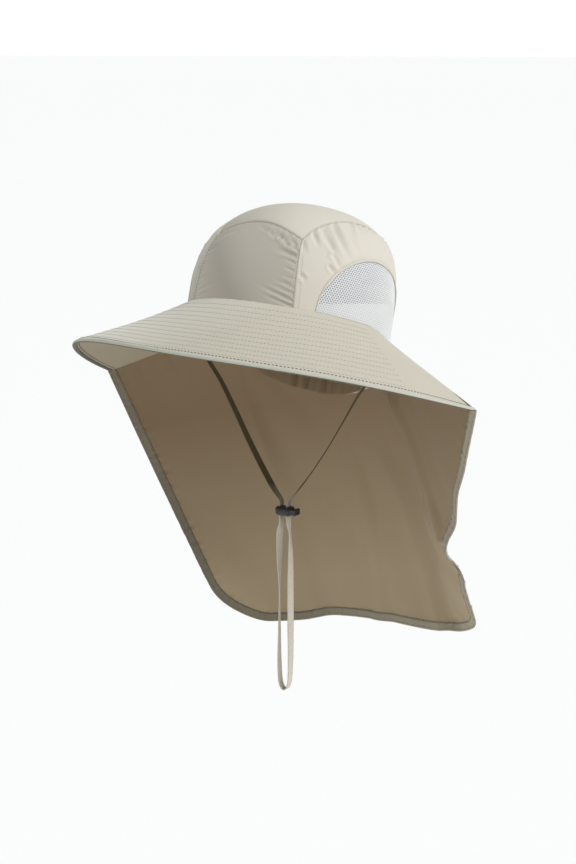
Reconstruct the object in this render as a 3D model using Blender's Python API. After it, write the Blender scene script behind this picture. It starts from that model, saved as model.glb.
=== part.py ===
"""Flap sun hat: a panelled crown with net windows, a front brim, a neck flap and a chin strap.

Metres, +Z up, front at -Y, the wearer's left at +X. The origin is the centre of the crown's
rim, where the hat sits on a head. The crown and brim lean back, while the flap and the
strap hang straight down.
"""
from math import atan2, cos, hypot, pi, radians, sin, sqrt

import bmesh
import bpy
from mathutils import Matrix, Vector

# Fit and lean
RIM_HALF_LENGTH = 0.0968
RIM_HALF_WIDTH = 0.0935
LEAN_BACK = radians(17.9)
CLEARANCE = 0.0003

# Crown
CROWN_HEIGHT = 0.1075
CROWN_SQUARENESS = 2.747
CROWN_SWEEP = -0.0185
CROWN_TIP_BACK = 0.0427
CROWN_TIP_TILT = -0.185
CROWN_WALL = 0.0016
RIM_DIP = 0.046
DIP_START = radians(78)
FRONT_PANEL_ANGLE = radians(34)
FRONT_CORNER_ANGLE = radians(31.5)
FRONT_SEAM_SIDE_HEIGHT = 0.0620
FRONT_SEAM_MIDDLE_HEIGHT = 0.0740
TOP_PANEL_BULGE = 0.013
BACK_PANEL_ANGLE = radians(35)
BACK_CORNER_HEIGHT = 0.050
SIDE_CROWDING = 0.6

# Net windows
NET_APEX_ANGLE = radians(86)
NET_FRONT_REACH = radians(39.5)
NET_BACK_REACH = radians(52)
NET_HEIGHT = 0.060
NET_WALL = 0.0010
NET_STEPS = 16

# Sweatband
BAND_HEIGHT = 0.026
BAND_WALL = 0.0012

# Brim and its binding
BRIM_FRONT_REACH = 0.1727
BRIM_HALF_WIDTH = 0.1962
BRIM_END_SETBACK = 0.0053
BRIM_CORNER_REACH = 0.054
BRIM_DROP = 0.0580
BRIM_CORNER_LIFT = 0.0027
BRIM_TWIST = -0.0051
BRIM_BOW = -0.0024
BRIM_END_BOW = 0.0043
BRIM_WALL = 0.0020
BRIM_SLANT = 0.6
BRIM_END_ANGLE = radians(107)
BINDING_RADIUS = 0.0017

# Flap
FLAP_WALL = 0.0012
FLAP_HALF_WIDTH = 0.150
FLAP_REACH = 0.150
FLAP_DROP = 0.325
FLAP_CORNER_RADIUS = 0.052
FLAP_SEAM_SHARE = 0.24
FLAP_LEAVE_SHARE = 0.25
FLAP_OVERHANG = 1.03
FLAP_MIDDLE = 0.52
FLAP_CROWDING = 0.6
FOLD_FADE = 0.3

# Stations evenly spaced across the flap, from its left front edge round the back to its right
# front edge: where the cloth passes halfway down and at the hem, as shares of the half width
# (side), the reach (back) and the drop (down).
FLAP_STATIONS = [
    {"middle": (0.980, 0.380, 0.615), "hem": (1.090, 0.600, 0.905)},
    {"middle": (0.700, 0.610, 0.585), "hem": (0.810, 0.727, 0.922)},
    {"middle": (0.530, 0.755, 0.570), "hem": (0.540, 0.847, 0.948)},
    {"middle": (0.290, 0.860, 0.570), "hem": (0.290, 0.953, 0.961)},
    {"middle": (0.010, 0.895, 0.570), "hem": (0.030, 0.998, 0.968)},
    {"middle": (-0.29, 0.860, 0.570), "hem": (-0.237, 0.970, 0.974)},
    {"middle": (-0.58, 0.755, 0.570), "hem": (-0.487, 0.883, 0.997)},
    {"middle": (-0.84, 0.530, 0.585), "hem": (-0.700, 0.727, 0.998)},
    {"middle": (-1.07, 0.250, 0.626), "hem": (-0.853, 0.520, 0.976)},
]

# Soft folds in the flap, each from a place where it fades in to one where it is full, as
# shares across and down, with its depth outwards as a share of the reach and its half width.
FLAP_FOLDS = [
    {"start": (0.36, 0.05), "end": (0.00, 0.55), "depth": -0.040, "half_width": 0.085},
    {"start": (0.26, 0.50), "end": (0.00, 0.57), "depth": -0.036, "half_width": 0.135},
    {"start": (0.10, 0.02), "end": (0.00, 0.19), "depth": 0.024, "half_width": 0.130},
    {"start": (0.43, 0.15), "end": (0.16, 0.95), "depth": 0.040, "half_width": 0.070},
    {"start": (0.55, 0.10), "end": (0.47, 1.00), "depth": -0.025, "half_width": 0.050},
    {"start": (0.72, 0.10), "end": (0.66, 1.00), "depth": 0.022, "half_width": 0.060},
]

# Chin strap: a flat tape
STRAP_WIDTH = 0.007
STRAP_THICKNESS = 0.0010
STRAP_STEP = 0.006

# Route of the strap from the right side of the rim through the lock, round the loop and back
# up to the left side. The last number is the way its width faces, in degrees from +X.
STRAP_ROUTE = [
    (-0.0912, 0.0010, -0.0048, 90),
    (-0.0945, 0.0010, -0.0125, 92),
    (-0.0972, 0.0008, -0.0215, 96),
    (-0.0955, 0.0000, -0.0310, 97),
    (-0.0880, -0.0015, -0.0425, 97),
    (-0.0750, -0.0020, -0.0590, 94),
    (-0.0600, -0.0020, -0.0835, 88),
    (-0.0457, -0.0020, -0.1085, 80),
    (-0.0307, -0.0020, -0.1330, 74),
    (-0.0158, -0.0022, -0.1550, 74),
    (-0.0079, -0.0028, -0.1640, 86),
    (-0.0068, -0.0030, -0.1690, 90),
    (-0.0068, -0.0030, -0.1746, 90),
    (-0.0068, -0.0030, -0.1820, 90),
    (-0.0070, -0.0030, -0.1880, 84),
    (-0.0084, -0.0030, -0.1970, 54),
    (-0.0090, -0.0030, -0.2200, 80),
    (-0.0088, -0.0030, -0.2500, 116),
    (-0.0090, -0.0030, -0.2850, 110),
    (-0.0090, -0.0030, -0.3200, 94),
    (-0.0076, -0.0030, -0.3410, 90),
    (-0.0028, -0.0030, -0.3475, 90),
    (0.0020, -0.0030, -0.3410, 90),
    (0.0034, -0.0030, -0.3200, 80),
    (0.0034, -0.0030, -0.2850, 70),
    (0.0032, -0.0030, -0.2500, 68),
    (0.0034, -0.0030, -0.2200, 84),
    (0.0028, -0.0030, -0.1970, 110),
    (0.0014, -0.0030, -0.1880, 93),
    (0.0012, -0.0030, -0.1820, 90),
    (0.0012, -0.0030, -0.1746, 90),
    (0.0012, -0.0030, -0.1690, 90),
    (0.0023, -0.0028, -0.1640, 93),
    (0.0102, -0.0022, -0.1550, 104),
    (0.0273, -0.0020, -0.1330, 114),
    (0.0443, -0.0020, -0.1085, 114),
    (0.0600, -0.0020, -0.0835, 110),
    (0.0750, -0.0020, -0.0590, 102),
    (0.0880, -0.0015, -0.0425, 92),
    (0.0955, 0.0000, -0.0310, 86),
    (0.0972, 0.0008, -0.0215, 84),
    (0.0945, 0.0010, -0.0125, 88),
    (0.0912, 0.0010, -0.0048, 90),
]

# Cord lock and its plunger, which slides along X
LOCK_CENTRE = Vector((-0.0028, -0.0030, -0.1746))
LOCK_LENGTH = 0.0170
LOCK_DEPTH = 0.0125
LOCK_HEIGHT = 0.0090
LOCK_ROUNDING = 0.0034
SLOT_SPACING = 0.0040
SLOT_PLAY = 0.0004
PLUNGER_TRAVEL = 0.0020
PLUNGER_HEIGHT = 0.0042
PLUNGER_SIDE_WALL = 0.0009
KNOB_LENGTH = 0.0030
KNOB_HEIGHT = 0.0062
KNOB_ROUNDING = 0.0012
KNOB_STANDOFF = 0.0024

LEAN = Matrix.Rotation(-LEAN_BACK, 4, "X")


def clear_scene():
    """Remove whatever the scene holds."""
    for old in list(bpy.data.objects):
        bpy.data.objects.remove(old, do_unlink=True)


def material(name, colour, roughness, metallic=0.0):
    """A plain surface for one piece."""
    made = bpy.data.materials.new(name)
    made.use_nodes = True
    shader = made.node_tree.nodes["Principled BSDF"]
    shader.inputs["Base Color"].default_value = (*colour, 1.0)
    shader.inputs["Roughness"].default_value = roughness
    shader.inputs["Metallic"].default_value = metallic
    return made


def smooth_step(value):
    """Ease from 0 to 1."""
    share = min(max(value, 0.0), 1.0)
    return share * share * (3 - 2 * share)


def blend(a, b, share):
    """The value a share of the way from a to b."""
    return a + (b - a) * share


def shares(count):
    """Evenly spaced shares from 0 to 1, one more than the count of steps."""
    return [i / count for i in range(count + 1)]


def crowded_shares(count, crowding):
    """Shares from 0 to 1 that lie closer together near both ends."""
    return [t - crowding * sin(2 * pi * t) / (2 * pi) for t in shares(count)]


def catmull(rows, share):
    """A smooth curve through equally spaced rows of numbers, read at a share of its length."""
    spot = min(max(share, 0.0), 1.0) * (len(rows) - 1)
    i = min(int(spot), len(rows) - 2)
    t = spot - i
    p0 = Vector(rows[max(i - 1, 0)])
    p1 = Vector(rows[i])
    p2 = Vector(rows[i + 1])
    p3 = Vector(rows[min(i + 2, len(rows) - 1)])
    linear = (p2 - p0) * t
    square = (2 * p0 - 5 * p1 + 4 * p2 - p3) * t ** 2
    cube = (3 * p1 - p0 - 3 * p2 + p3) * t ** 3
    return (2 * p1 + linear + square + cube) / 2


def sheet(name, rows, thickness, finish, parent=None, closed=False):
    """A wall whose outer face passes through rows of points, thickened on its inner side."""
    mesh = bpy.data.meshes.new(name)
    width = len(rows[0])
    points = [point for row in rows for point in row]
    steps = width if closed else width - 1
    faces = []
    for r in range(len(rows) - 1):
        for c in range(steps):
            right = (c + 1) % width
            faces.append((r * width + c, r * width + right,
                          (r + 1) * width + right, (r + 1) * width + c))
    mesh.from_pydata(points, [], faces)
    mesh.shade_smooth()
    made = bpy.data.objects.new(name, mesh)
    bpy.context.collection.objects.link(made)
    made.data.materials.append(finish)
    made.parent = parent
    wall = made.modifiers.new("wall", "SOLIDIFY")
    wall.thickness = thickness
    wall.offset = -1
    wall.use_even_offset = True
    return made


def rim_drop(angle):
    """How far the rim lies below its level front half, which grows towards the back."""
    turn = pi - abs(pi - abs(angle))
    return RIM_DIP * smooth_step((turn - DIP_START) / (pi - DIP_START))


def crown_shrink(height):
    """Share of the rim's radius that is left at a height above the rim."""
    share = min(max(height / CROWN_HEIGHT, 0.0), 1.0)
    return (1 - share ** CROWN_SQUARENESS) ** (1 / CROWN_SQUARENESS)


def crown_point(angle, height, inset=0.0):
    """A point on the upright crown, by its angle from the front and its height."""
    shrink = crown_shrink(height)
    x = (RIM_HALF_WIDTH - inset) * shrink * sin(angle)
    y = -(RIM_HALF_LENGTH - inset) * shrink * cos(angle)
    return Vector((x, y, height))


def crown_over(spot):
    """The point of the upright crown's top above a place in plan."""
    reach = min(hypot(spot.x / RIM_HALF_WIDTH, spot.y / RIM_HALF_LENGTH), 1.0)
    rise = (1 - reach ** CROWN_SQUARENESS) ** (1 / CROWN_SQUARENESS)
    return Vector((spot.x, spot.y, CROWN_HEIGHT * rise))


def swept_back(spot):
    """The crown's walls lean less than its rim does, and its tip slumps back and levels out."""
    tip = min(max(spot.z / CROWN_HEIGHT, 0.0), 1.0) ** 4
    back = CROWN_SWEEP * spot.z + CROWN_TIP_BACK * tip
    return Vector((spot.x, spot.y + back, spot.z + CROWN_TIP_TILT * spot.y * tip))


def crown_sheet(name, rows, thickness, finish, lean, closed=False):
    """A wall of the crown, from rows of points on the upright crown."""
    swept_rows = [[swept_back(spot) for spot in row] for row in rows]
    return sheet(name, swept_rows, thickness, finish, lean, closed)


def rim_point(angle, clear, lift):
    """A point beside the rim, by its angle, the way out from it and the way up."""
    spot = crown_point(angle, -rim_drop(angle), -clear)
    return swept_back(spot) + Vector((0, 0, lift))


def angle_gap(angle):
    """The angle that one seam allowance takes up on the rim."""
    return CLEARANCE / hypot(RIM_HALF_LENGTH * sin(angle), RIM_HALF_WIDTH * cos(angle))


def front_seam_height(share):
    """Height of the front panel's upper seam, by its share of the way from side to side."""
    return blend(FRONT_SEAM_SIDE_HEIGHT, FRONT_SEAM_MIDDLE_HEIGHT, cos(pi * (share - 0.5)))


def crown_front(lean, finish):
    """The front panel, from the rim up to the top seam."""
    columns = 14
    levels = 8
    rows = []
    for level in shares(levels):
        side_angle = blend(FRONT_PANEL_ANGLE, FRONT_CORNER_ANGLE, level)
        limit = side_angle - angle_gap(side_angle)
        row = []
        for t in shares(columns):
            height = level * (front_seam_height(t) - CLEARANCE)
            row.append(crown_point(blend(-limit, limit, t), height))
        rows.append(row)
    return crown_sheet("crown_front", rows, CROWN_WALL, finish, lean)


def top_seam_spot(across, along):
    """A place on the top panel, by shares from right to left and from front to back."""
    front_angle = blend(-FRONT_CORNER_ANGLE, FRONT_CORNER_ANGLE, across)
    front = crown_point(front_angle, front_seam_height(across) + CLEARANCE)
    back = crown_point(back_line_angle(across), BACK_CORNER_HEIGHT)
    spot = front.lerp(back, along)
    spot.x += blend(-TOP_PANEL_BULGE, TOP_PANEL_BULGE, across) * sin(pi * along)
    return spot


def back_line_angle(across):
    """Rim angle of a line down the back of the top panel."""
    return pi - blend(-BACK_PANEL_ANGLE, BACK_PANEL_ANGLE, across)


def crown_top(lean, finish):
    """The top panel, over the crown and down its back to the rim."""
    columns = 10
    over = 18
    down = 6
    inset = CLEARANCE / 2 / RIM_HALF_WIDTH
    across_shares = [blend(inset, 1 - inset, t) for t in shares(columns)]
    rows = []
    for along in shares(over):
        rows.append([crown_over(top_seam_spot(across, along)) for across in across_shares])
    for along in shares(down)[1:]:
        row = []
        for across in across_shares:
            angle = back_line_angle(across)
            row.append(crown_point(angle, blend(BACK_CORNER_HEIGHT, -rim_drop(angle), along)))
        rows.append(row)
    return crown_sheet("crown_top", rows, CROWN_WALL, finish, lean)


def net_arch(turn, inset):
    """A foot angle and a height on the net window's arch, for a turn from -1 to 1 along it."""
    reach = NET_FRONT_REACH if turn < 0 else NET_BACK_REACH
    angle = NET_APEX_ANGLE + turn * (reach - inset / RIM_HALF_LENGTH)
    rise = sqrt(max(1 - turn ** 2, 0.0))
    return angle, blend(-rim_drop(angle), NET_HEIGHT, rise) - inset


def net_turns(skipped):
    """Even turns along the arch, without the ones next to its feet that are skipped."""
    turns = [-cos(pi * t) for t in shares(NET_STEPS)]
    return turns[skipped:len(turns) - skipped]


def side_feet(outer_steps):
    """Foot angles and heights along a side panel's lower edge, up and over the arch."""
    start = FRONT_PANEL_ANGLE + angle_gap(FRONT_PANEL_ANGLE)
    end = pi - BACK_PANEL_ANGLE - angle_gap(BACK_PANEL_ANGLE)
    foot = NET_APEX_ANGLE - NET_FRONT_REACH
    heel = NET_APEX_ANGLE + NET_BACK_REACH
    before = [blend(start, foot, t) for t in shares(outer_steps)[:-1]]
    after = [blend(heel, end, t) for t in shares(outer_steps)[1:]]
    feet = [(angle, -rim_drop(angle)) for angle in before]
    feet += [net_arch(turn, 0.0) for turn in net_turns(0)]
    return feet + [(angle, -rim_drop(angle)) for angle in after]


def side_top_point(angle):
    """Where a side panel's upper edge crosses the crown above a rim angle."""
    share = (angle - FRONT_PANEL_ANGLE) / (pi - BACK_PANEL_ANGLE - FRONT_PANEL_ANGLE)
    along = blend(share, (1 - cos(pi * share)) / 2, SIDE_CROWDING)
    spot = top_seam_spot(1.0, min(max(along, 0.0), 1.0))
    spot.x += CLEARANCE
    return crown_over(spot)


def between_on_crown(foot_angle, foot_height, top, level):
    """A point on the crown between a panel's foot and its upper edge."""
    height = blend(foot_height, top.z, level)
    top_turn = Vector((top.x / RIM_HALF_WIDTH, -top.y / RIM_HALF_LENGTH)).normalized()
    turn = Vector((sin(foot_angle), cos(foot_angle))).lerp(top_turn, level)
    return crown_point(atan2(turn.x, turn.y), height)


def mirrored(rows, side):
    """Rows of points on the left side, or their mirror image on the right."""
    if side > 0:
        return rows
    return [[Vector((-spot.x, spot.y, spot.z)) for spot in row[::-1]] for row in rows]


def crown_side(name, side, lean, finish):
    """A side panel, cut out in an arch above its net window."""
    levels = 8
    rows = []
    for level in shares(levels):
        row = []
        for angle, height in side_feet(3):
            row.append(between_on_crown(angle, height, side_top_point(angle), level))
        rows.append(row)
    return crown_sheet(name, mirrored(rows, side), CROWN_WALL, finish, lean)


def net_window(name, side, lean, finish):
    """The arched net window in a side panel."""
    levels = 5
    rows = []
    for level in shares(levels):
        row = []
        for turn in net_turns(1):
            angle, top = net_arch(turn, 2 * CLEARANCE)
            row.append(crown_point(angle, blend(-rim_drop(angle), top, level)))
        rows.append(row)
    return crown_sheet(name, mirrored(rows, side), NET_WALL, finish, lean)


def sweatband(lean, finish):
    """The band inside the rim, all the way round."""
    columns = 48
    levels = 2
    inset = CROWN_WALL + 2 * CLEARANCE
    rows = []
    for level in shares(levels):
        row = []
        for i in range(columns):
            angle = 2 * pi * i / columns - pi
            row.append(crown_point(angle, level * BAND_HEIGHT - rim_drop(angle), inset))
        rows.append(row)
    return crown_sheet("sweatband", rows, BAND_WALL, finish, lean, closed=True)


def brim_rim_point(angle):
    """Where the brim's upper face starts beside the crown."""
    return rim_point(angle, CLEARANCE + BRIM_WALL * BRIM_SLANT, BRIM_WALL / 2)


def brim_edge_point(angle):
    """The outer edge of the brim that belongs to a rim angle."""
    turn = angle / BRIM_END_ANGLE * pi / 2
    x = BRIM_HALF_WIDTH * sin(turn)
    reach = (BRIM_FRONT_REACH + BRIM_END_SETBACK) * (1 + BRIM_CORNER_REACH * sin(turn) ** 2)
    rise = BRIM_CORNER_LIFT * sin(2 * turn) ** 2 + BRIM_TWIST * sin(2 * turn)
    return Vector((x, BRIM_END_SETBACK - reach * cos(turn), rise - BRIM_DROP))


def brim_point(angle, out):
    """A point on the brim's upper face, by rim angle and share of the way out."""
    spot = brim_rim_point(angle).lerp(brim_edge_point(angle), out)
    turn = angle / BRIM_END_ANGLE * pi / 2
    spot.z += (BRIM_BOW + BRIM_END_BOW * sin(turn) ** 2) * sin(pi * out)
    return spot


def brim(lean, finish):
    """The brim, from the rim to its edge."""
    columns = 40
    levels = 7
    rows = []
    for out in shares(levels):
        row = [brim_point(blend(-BRIM_END_ANGLE, BRIM_END_ANGLE, t), 1 - out) for t in shares(columns)]
        rows.append(row)
    return sheet("brim", rows, BRIM_WALL, finish, lean)


def tube(name, points, radius, finish, parent=None):
    """A round roll along a line of points."""
    curve = bpy.data.curves.new(name, "CURVE")
    curve.dimensions = "3D"
    curve.bevel_depth = radius
    curve.bevel_resolution = 2
    curve.use_fill_caps = True
    line = curve.splines.new("POLY")
    line.points.add(len(points) - 1)
    for knot, point in zip(line.points, points):
        knot.co = (*point, 1.0)
    made = bpy.data.objects.new(name, curve)
    bpy.context.collection.objects.link(made)
    curve.materials.append(finish)
    made.parent = parent
    return made


def brim_binding(lean, finish):
    """The rolled binding along the brim's edge."""
    points = []
    for t in shares(44):
        angle = blend(-BRIM_END_ANGLE, BRIM_END_ANGLE, t)
        edge = brim_edge_point(angle)
        outward = (edge - brim_rim_point(angle)).normalized()
        centre = edge + outward * (BINDING_RADIUS + CLEARANCE)
        points.append(centre + Vector((0, 0, -BRIM_WALL / 2)))
    return tube("brim_binding", points, BINDING_RADIUS, finish, lean)


def flap_top_point(across):
    """The flap's upper edge: out along a brim end or round the back rim."""
    side = 1 if across < 0.5 else -1
    from_edge = across if across < 0.5 else 1 - across
    back_off = Vector((0, FLAP_WALL, -2 * CLEARANCE))
    if from_edge < FLAP_SEAM_SHARE:
        spot = brim_point(BRIM_END_ANGLE, FLAP_OVERHANG * (1 - from_edge / FLAP_SEAM_SHARE))
        return LEAN @ (Vector((side * spot.x, spot.y, spot.z)) + back_off)
    share = (from_edge - FLAP_SEAM_SHARE) / (0.5 - FLAP_SEAM_SHARE)
    leave = smooth_step(share / FLAP_LEAVE_SHARE)
    clear = blend(CLEARANCE + BRIM_WALL * BRIM_SLANT, 0.0, leave)
    spot = rim_point(blend(BRIM_END_ANGLE, pi, share), clear, blend(BRIM_WALL / 2, 0.0, leave))
    return LEAN @ (Vector((side * spot.x, spot.y, spot.z)) + back_off)


def flap_control(across, place):
    """A place halfway down or at the hem, read from the stations."""
    rows = [station[place] for station in FLAP_STATIONS]
    side, back, down = catmull(rows, across)
    return Vector((side * FLAP_HALF_WIDTH, back * FLAP_REACH, -down * FLAP_DROP))


def flap_fold_offset(across, down):
    """How far the folds push the cloth out at a place."""
    offset = 0.0
    for fold in FLAP_FOLDS:
        start = Vector(fold["start"])
        run = Vector(fold["end"]) - start
        from_start = Vector((across, down)) - start
        along = from_start.dot(run) / run.length_squared
        aside = (from_start - run * min(max(along, 0.0), 1.0)).length / fold["half_width"]
        height = fold["depth"] * FLAP_REACH * smooth_step(along / FOLD_FADE)
        offset += height * max(0.0, 1 - aside ** 2) ** 2
    return offset


def flap_point(across, down):
    """A point on the flap's outer face, by shares across and down."""
    top = flap_top_point(across)
    middle = flap_control(across, "middle")
    hem = flap_control(across, "hem")
    a = (down - FLAP_MIDDLE) * (down - 1) / FLAP_MIDDLE
    b = down * (down - 1) / (FLAP_MIDDLE * (FLAP_MIDDLE - 1))
    c = down * (down - FLAP_MIDDLE) / (1 - FLAP_MIDDLE)
    spot = top * a + middle * b + hem * c
    outward = Vector((spot.x, spot.y, 0)).normalized()
    return spot + outward * flap_fold_offset(across, down)


def line_length(points):
    """Length of a line of points."""
    return sum((b - a).length for a, b in zip(points, points[1:]))


def flap_depth_share(across, hem_length, edge_length):
    """Share of the full depth that a column of the flap has, which rounds the lower corners."""
    from_edge = min(across, 1 - across) * hem_length
    inside = max(FLAP_CORNER_RADIUS - from_edge, 0.0)
    rise = FLAP_CORNER_RADIUS - sqrt(FLAP_CORNER_RADIUS ** 2 - inside ** 2)
    return 1 - rise / edge_length


def flap(finish):
    """The neck flap."""
    columns = 40
    levels = 16
    hem_length = line_length([flap_control(t, "hem") for t in shares(columns)])
    edge_length = line_length([flap_point(1.0, t) for t in shares(levels)])
    rows = []
    for level in shares(levels):
        row = []
        for across in crowded_shares(columns, FLAP_CROWDING):
            depth = flap_depth_share(across, hem_length, edge_length)
            row.append(flap_point(across, (1 - level) * depth))
        rows.append(row)
    return sheet("flap", rows, FLAP_WALL, finish)


def strap_place(share):
    """The strap's centre and the turn of its width, at a share of its route."""
    centre = catmull([row[:3] for row in STRAP_ROUTE], share)
    turn = catmull([(radians(row[3]), 0.0) for row in STRAP_ROUTE], share)
    return centre, turn.x


def even_shares(points, count):
    """Shares along a line of points that lie an even length apart."""
    lengths = [0.0]
    for a, b in zip(points, points[1:]):
        lengths.append(lengths[-1] + (b - a).length)
    found = []
    i = 0
    for k in range(count + 1):
        target = lengths[-1] * k / count
        while i < len(lengths) - 2 and lengths[i + 1] < target:
            i += 1
        part = (target - lengths[i]) / (lengths[i + 1] - lengths[i])
        found.append((i + part) / (len(points) - 1))
    return found


def chin_strap(finish):
    """The flat tape of the chin strap, as one length."""
    samples = 400
    centres = [strap_place(t)[0] for t in shares(samples)]
    rings = []
    for t in even_shares(centres, int(line_length(centres) / STRAP_STEP)):
        centre, turn = strap_place(t)
        ahead = strap_place(t + 1 / samples)[0]
        behind = strap_place(t - 1 / samples)[0]
        along = (ahead - behind).normalized()
        wide = Vector((cos(turn), sin(turn), 0))
        wide = (wide - along * wide.dot(along)).normalized() * STRAP_WIDTH / 2
        thick = along.cross(wide).normalized() * STRAP_THICKNESS / 2
        rings.append([centre - wide - thick, centre + wide - thick,
                      centre + wide + thick, centre - wide + thick])
    return swept("chin_strap", rings, finish)


def swept(name, rings, finish):
    """A closed solid through four-cornered rings."""
    mesh = bpy.data.meshes.new(name)
    faces = []
    for r in range(len(rings) - 1):
        for c in range(4):
            right = (c + 1) % 4
            faces.append((4 * r + c, 4 * r + right, 4 * r + 4 + right, 4 * r + 4 + c))
    last = 4 * (len(rings) - 1)
    faces.append((3, 2, 1, 0))
    faces.append((last, last + 1, last + 2, last + 3))
    mesh.from_pydata([corner for ring in rings for corner in ring], [], faces)
    made = bpy.data.objects.new(name, mesh)
    bpy.context.collection.objects.link(made)
    mesh.materials.append(finish)
    return made


def block(name, centre, size, finish=None):
    """A box by its centre and its size."""
    shape = bmesh.new()
    bmesh.ops.create_cube(shape, size=1.0)
    bmesh.ops.scale(shape, vec=Vector(size), verts=shape.verts)
    mesh = bpy.data.meshes.new(name)
    shape.to_mesh(mesh)
    shape.free()
    made = bpy.data.objects.new(name, mesh)
    made.location = centre
    bpy.context.collection.objects.link(made)
    if finish:
        mesh.materials.append(finish)
    return made


def cut(target, name, centre, size):
    """Cut a box out of a piece."""
    cutter = block(name, centre, size)
    cutter.hide_render = True
    cutter.display_type = "WIRE"
    hole = target.modifiers.new(name, "BOOLEAN")
    hole.operation = "DIFFERENCE"
    hole.object = cutter


def round_edges(target, width):
    """Round a piece's edges."""
    rounding = target.modifiers.new("rounding", "BEVEL")
    rounding.width = width
    rounding.segments = 4
    rounding.limit_method = "ANGLE"


def plunger_width():
    """Depth of the plunger's bar, which holds the strap's width between two walls."""
    return STRAP_WIDTH + 2 * SLOT_PLAY + 2 * PLUNGER_SIDE_WALL


def cord_lock(finish):
    """The lock's body, with two slots for the strap and a channel for the plunger."""
    body = block("cord_lock", LOCK_CENTRE, (LOCK_LENGTH, LOCK_DEPTH, LOCK_HEIGHT), finish)
    round_edges(body, LOCK_ROUNDING)
    slot_size = (STRAP_THICKNESS + 2 * SLOT_PLAY, STRAP_WIDTH + 2 * SLOT_PLAY, 2 * LOCK_HEIGHT)
    for name, side in (("right_slot", -1), ("left_slot", 1)):
        cut(body, name, LOCK_CENTRE + Vector((side * SLOT_SPACING, 0, 0)), slot_size)
    start = -SLOT_SPACING
    end = LOCK_LENGTH
    channel = (end - start, plunger_width() + 2 * CLEARANCE, PLUNGER_HEIGHT + 2 * CLEARANCE)
    cut(body, "plunger_channel", LOCK_CENTRE + Vector(((start + end) / 2, 0, 0)), channel)
    return body


def lock_plunger(finish):
    """The button: a knob on a bar with a window that the left strand passes through."""
    tip = -SLOT_SPACING + STRAP_THICKNESS / 2 + SLOT_PLAY + PLUNGER_TRAVEL
    heel = LOCK_LENGTH / 2 + KNOB_STANDOFF + KNOB_LENGTH / 2
    bar_size = (heel - tip, plunger_width(), PLUNGER_HEIGHT)
    bar = block("lock_plunger", LOCK_CENTRE + Vector(((tip + heel) / 2, 0, 0)), bar_size, finish)
    knob_start = LOCK_LENGTH / 2 + KNOB_STANDOFF
    knob_centre = LOCK_CENTRE + Vector((knob_start + KNOB_LENGTH / 2, 0, 0))
    knob = block("knob", knob_centre, (KNOB_LENGTH, plunger_width() + CLEARANCE, KNOB_HEIGHT))
    round_edges(knob, KNOB_ROUNDING)
    knob.hide_render = True
    knob.display_type = "WIRE"
    joined = bar.modifiers.new("knob", "BOOLEAN")
    joined.operation = "UNION"
    joined.object = knob
    window_start = SLOT_SPACING - STRAP_THICKNESS / 2 - SLOT_PLAY
    window_end = SLOT_SPACING + STRAP_THICKNESS / 2 + SLOT_PLAY + PLUNGER_TRAVEL
    window_size = (window_end - window_start, STRAP_WIDTH + 2 * SLOT_PLAY, 2 * PLUNGER_HEIGHT)
    window_centre = LOCK_CENTRE + Vector(((window_start + window_end) / 2, 0, 0))
    cut(bar, "strap_window", window_centre, window_size)
    return bar


def build():
    """Make every piece of the hat."""
    clear_scene()
    lean = bpy.data.objects.new("leaning_frame", None)
    bpy.context.collection.objects.link(lean)
    lean.rotation_euler = LEAN.to_euler()
    pale = material("pale_cloth", (0.60, 0.57, 0.49), 0.9)
    front = material("front_cloth", (0.58, 0.55, 0.48), 0.9)
    inner = material("warm_cloth", (0.30, 0.26, 0.19), 0.9)
    net = material("net", (0.78, 0.78, 0.76), 0.8)
    band = material("band", (0.70, 0.68, 0.62), 0.9)
    edge = material("edge_tape", (0.50, 0.49, 0.41), 0.85)
    tape = material("strap_tape", (0.24, 0.22, 0.16), 0.8)
    black = material("black_plastic", (0.012, 0.012, 0.013), 0.25)
    crown_front(lean, front)
    crown_top(lean, pale)
    for word, side in (("left", 1), ("right", -1)):
        crown_side(f"crown_side_{word}", side, lean, pale)
        net_window(f"net_{word}", side, lean, net)
    sweatband(lean, band)
    brim(lean, pale)
    brim_binding(lean, edge)
    flap(inner)
    chin_strap(tape)
    cord_lock(black)
    lock_plunger(black)


build()
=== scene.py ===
"""Looks of the flap sun hat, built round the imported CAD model. Metres, +Z up, front towards -Y."""

from math import cos, pi, radians, sin

import bmesh
import bpy
import numpy as np
from mathutils import Matrix, Vector
from mathutils.bvhtree import BVHTree
from mathutils.kdtree import KDTree


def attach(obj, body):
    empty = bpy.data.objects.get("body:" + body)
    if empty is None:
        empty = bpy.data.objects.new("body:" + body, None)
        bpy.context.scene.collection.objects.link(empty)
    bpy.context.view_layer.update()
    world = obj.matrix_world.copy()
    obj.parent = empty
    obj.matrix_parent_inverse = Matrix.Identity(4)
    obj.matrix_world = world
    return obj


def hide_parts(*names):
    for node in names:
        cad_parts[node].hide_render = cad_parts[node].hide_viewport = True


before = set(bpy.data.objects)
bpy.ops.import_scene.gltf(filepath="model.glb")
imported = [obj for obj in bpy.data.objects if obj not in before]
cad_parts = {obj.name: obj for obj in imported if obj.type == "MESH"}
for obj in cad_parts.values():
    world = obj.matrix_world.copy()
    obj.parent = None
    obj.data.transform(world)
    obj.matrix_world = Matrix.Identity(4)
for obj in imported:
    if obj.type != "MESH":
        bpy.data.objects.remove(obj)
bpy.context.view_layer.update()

# Crown, as in the CAD model
RIM_HALF_LENGTH = 0.0968
RIM_HALF_WIDTH = 0.0935
LEAN_BACK = radians(17.9)
CROWN_HEIGHT = 0.1075
CROWN_SQUARENESS = 2.747
CROWN_SWEEP = -0.0185
CROWN_TIP_BACK = 0.0427
CROWN_TIP_TILT = -0.185
CROWN_WALL = 0.0012
RIM_DIP = 0.046
DIP_START = radians(78)
FRONT_PANEL_ANGLE = radians(34)
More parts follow.
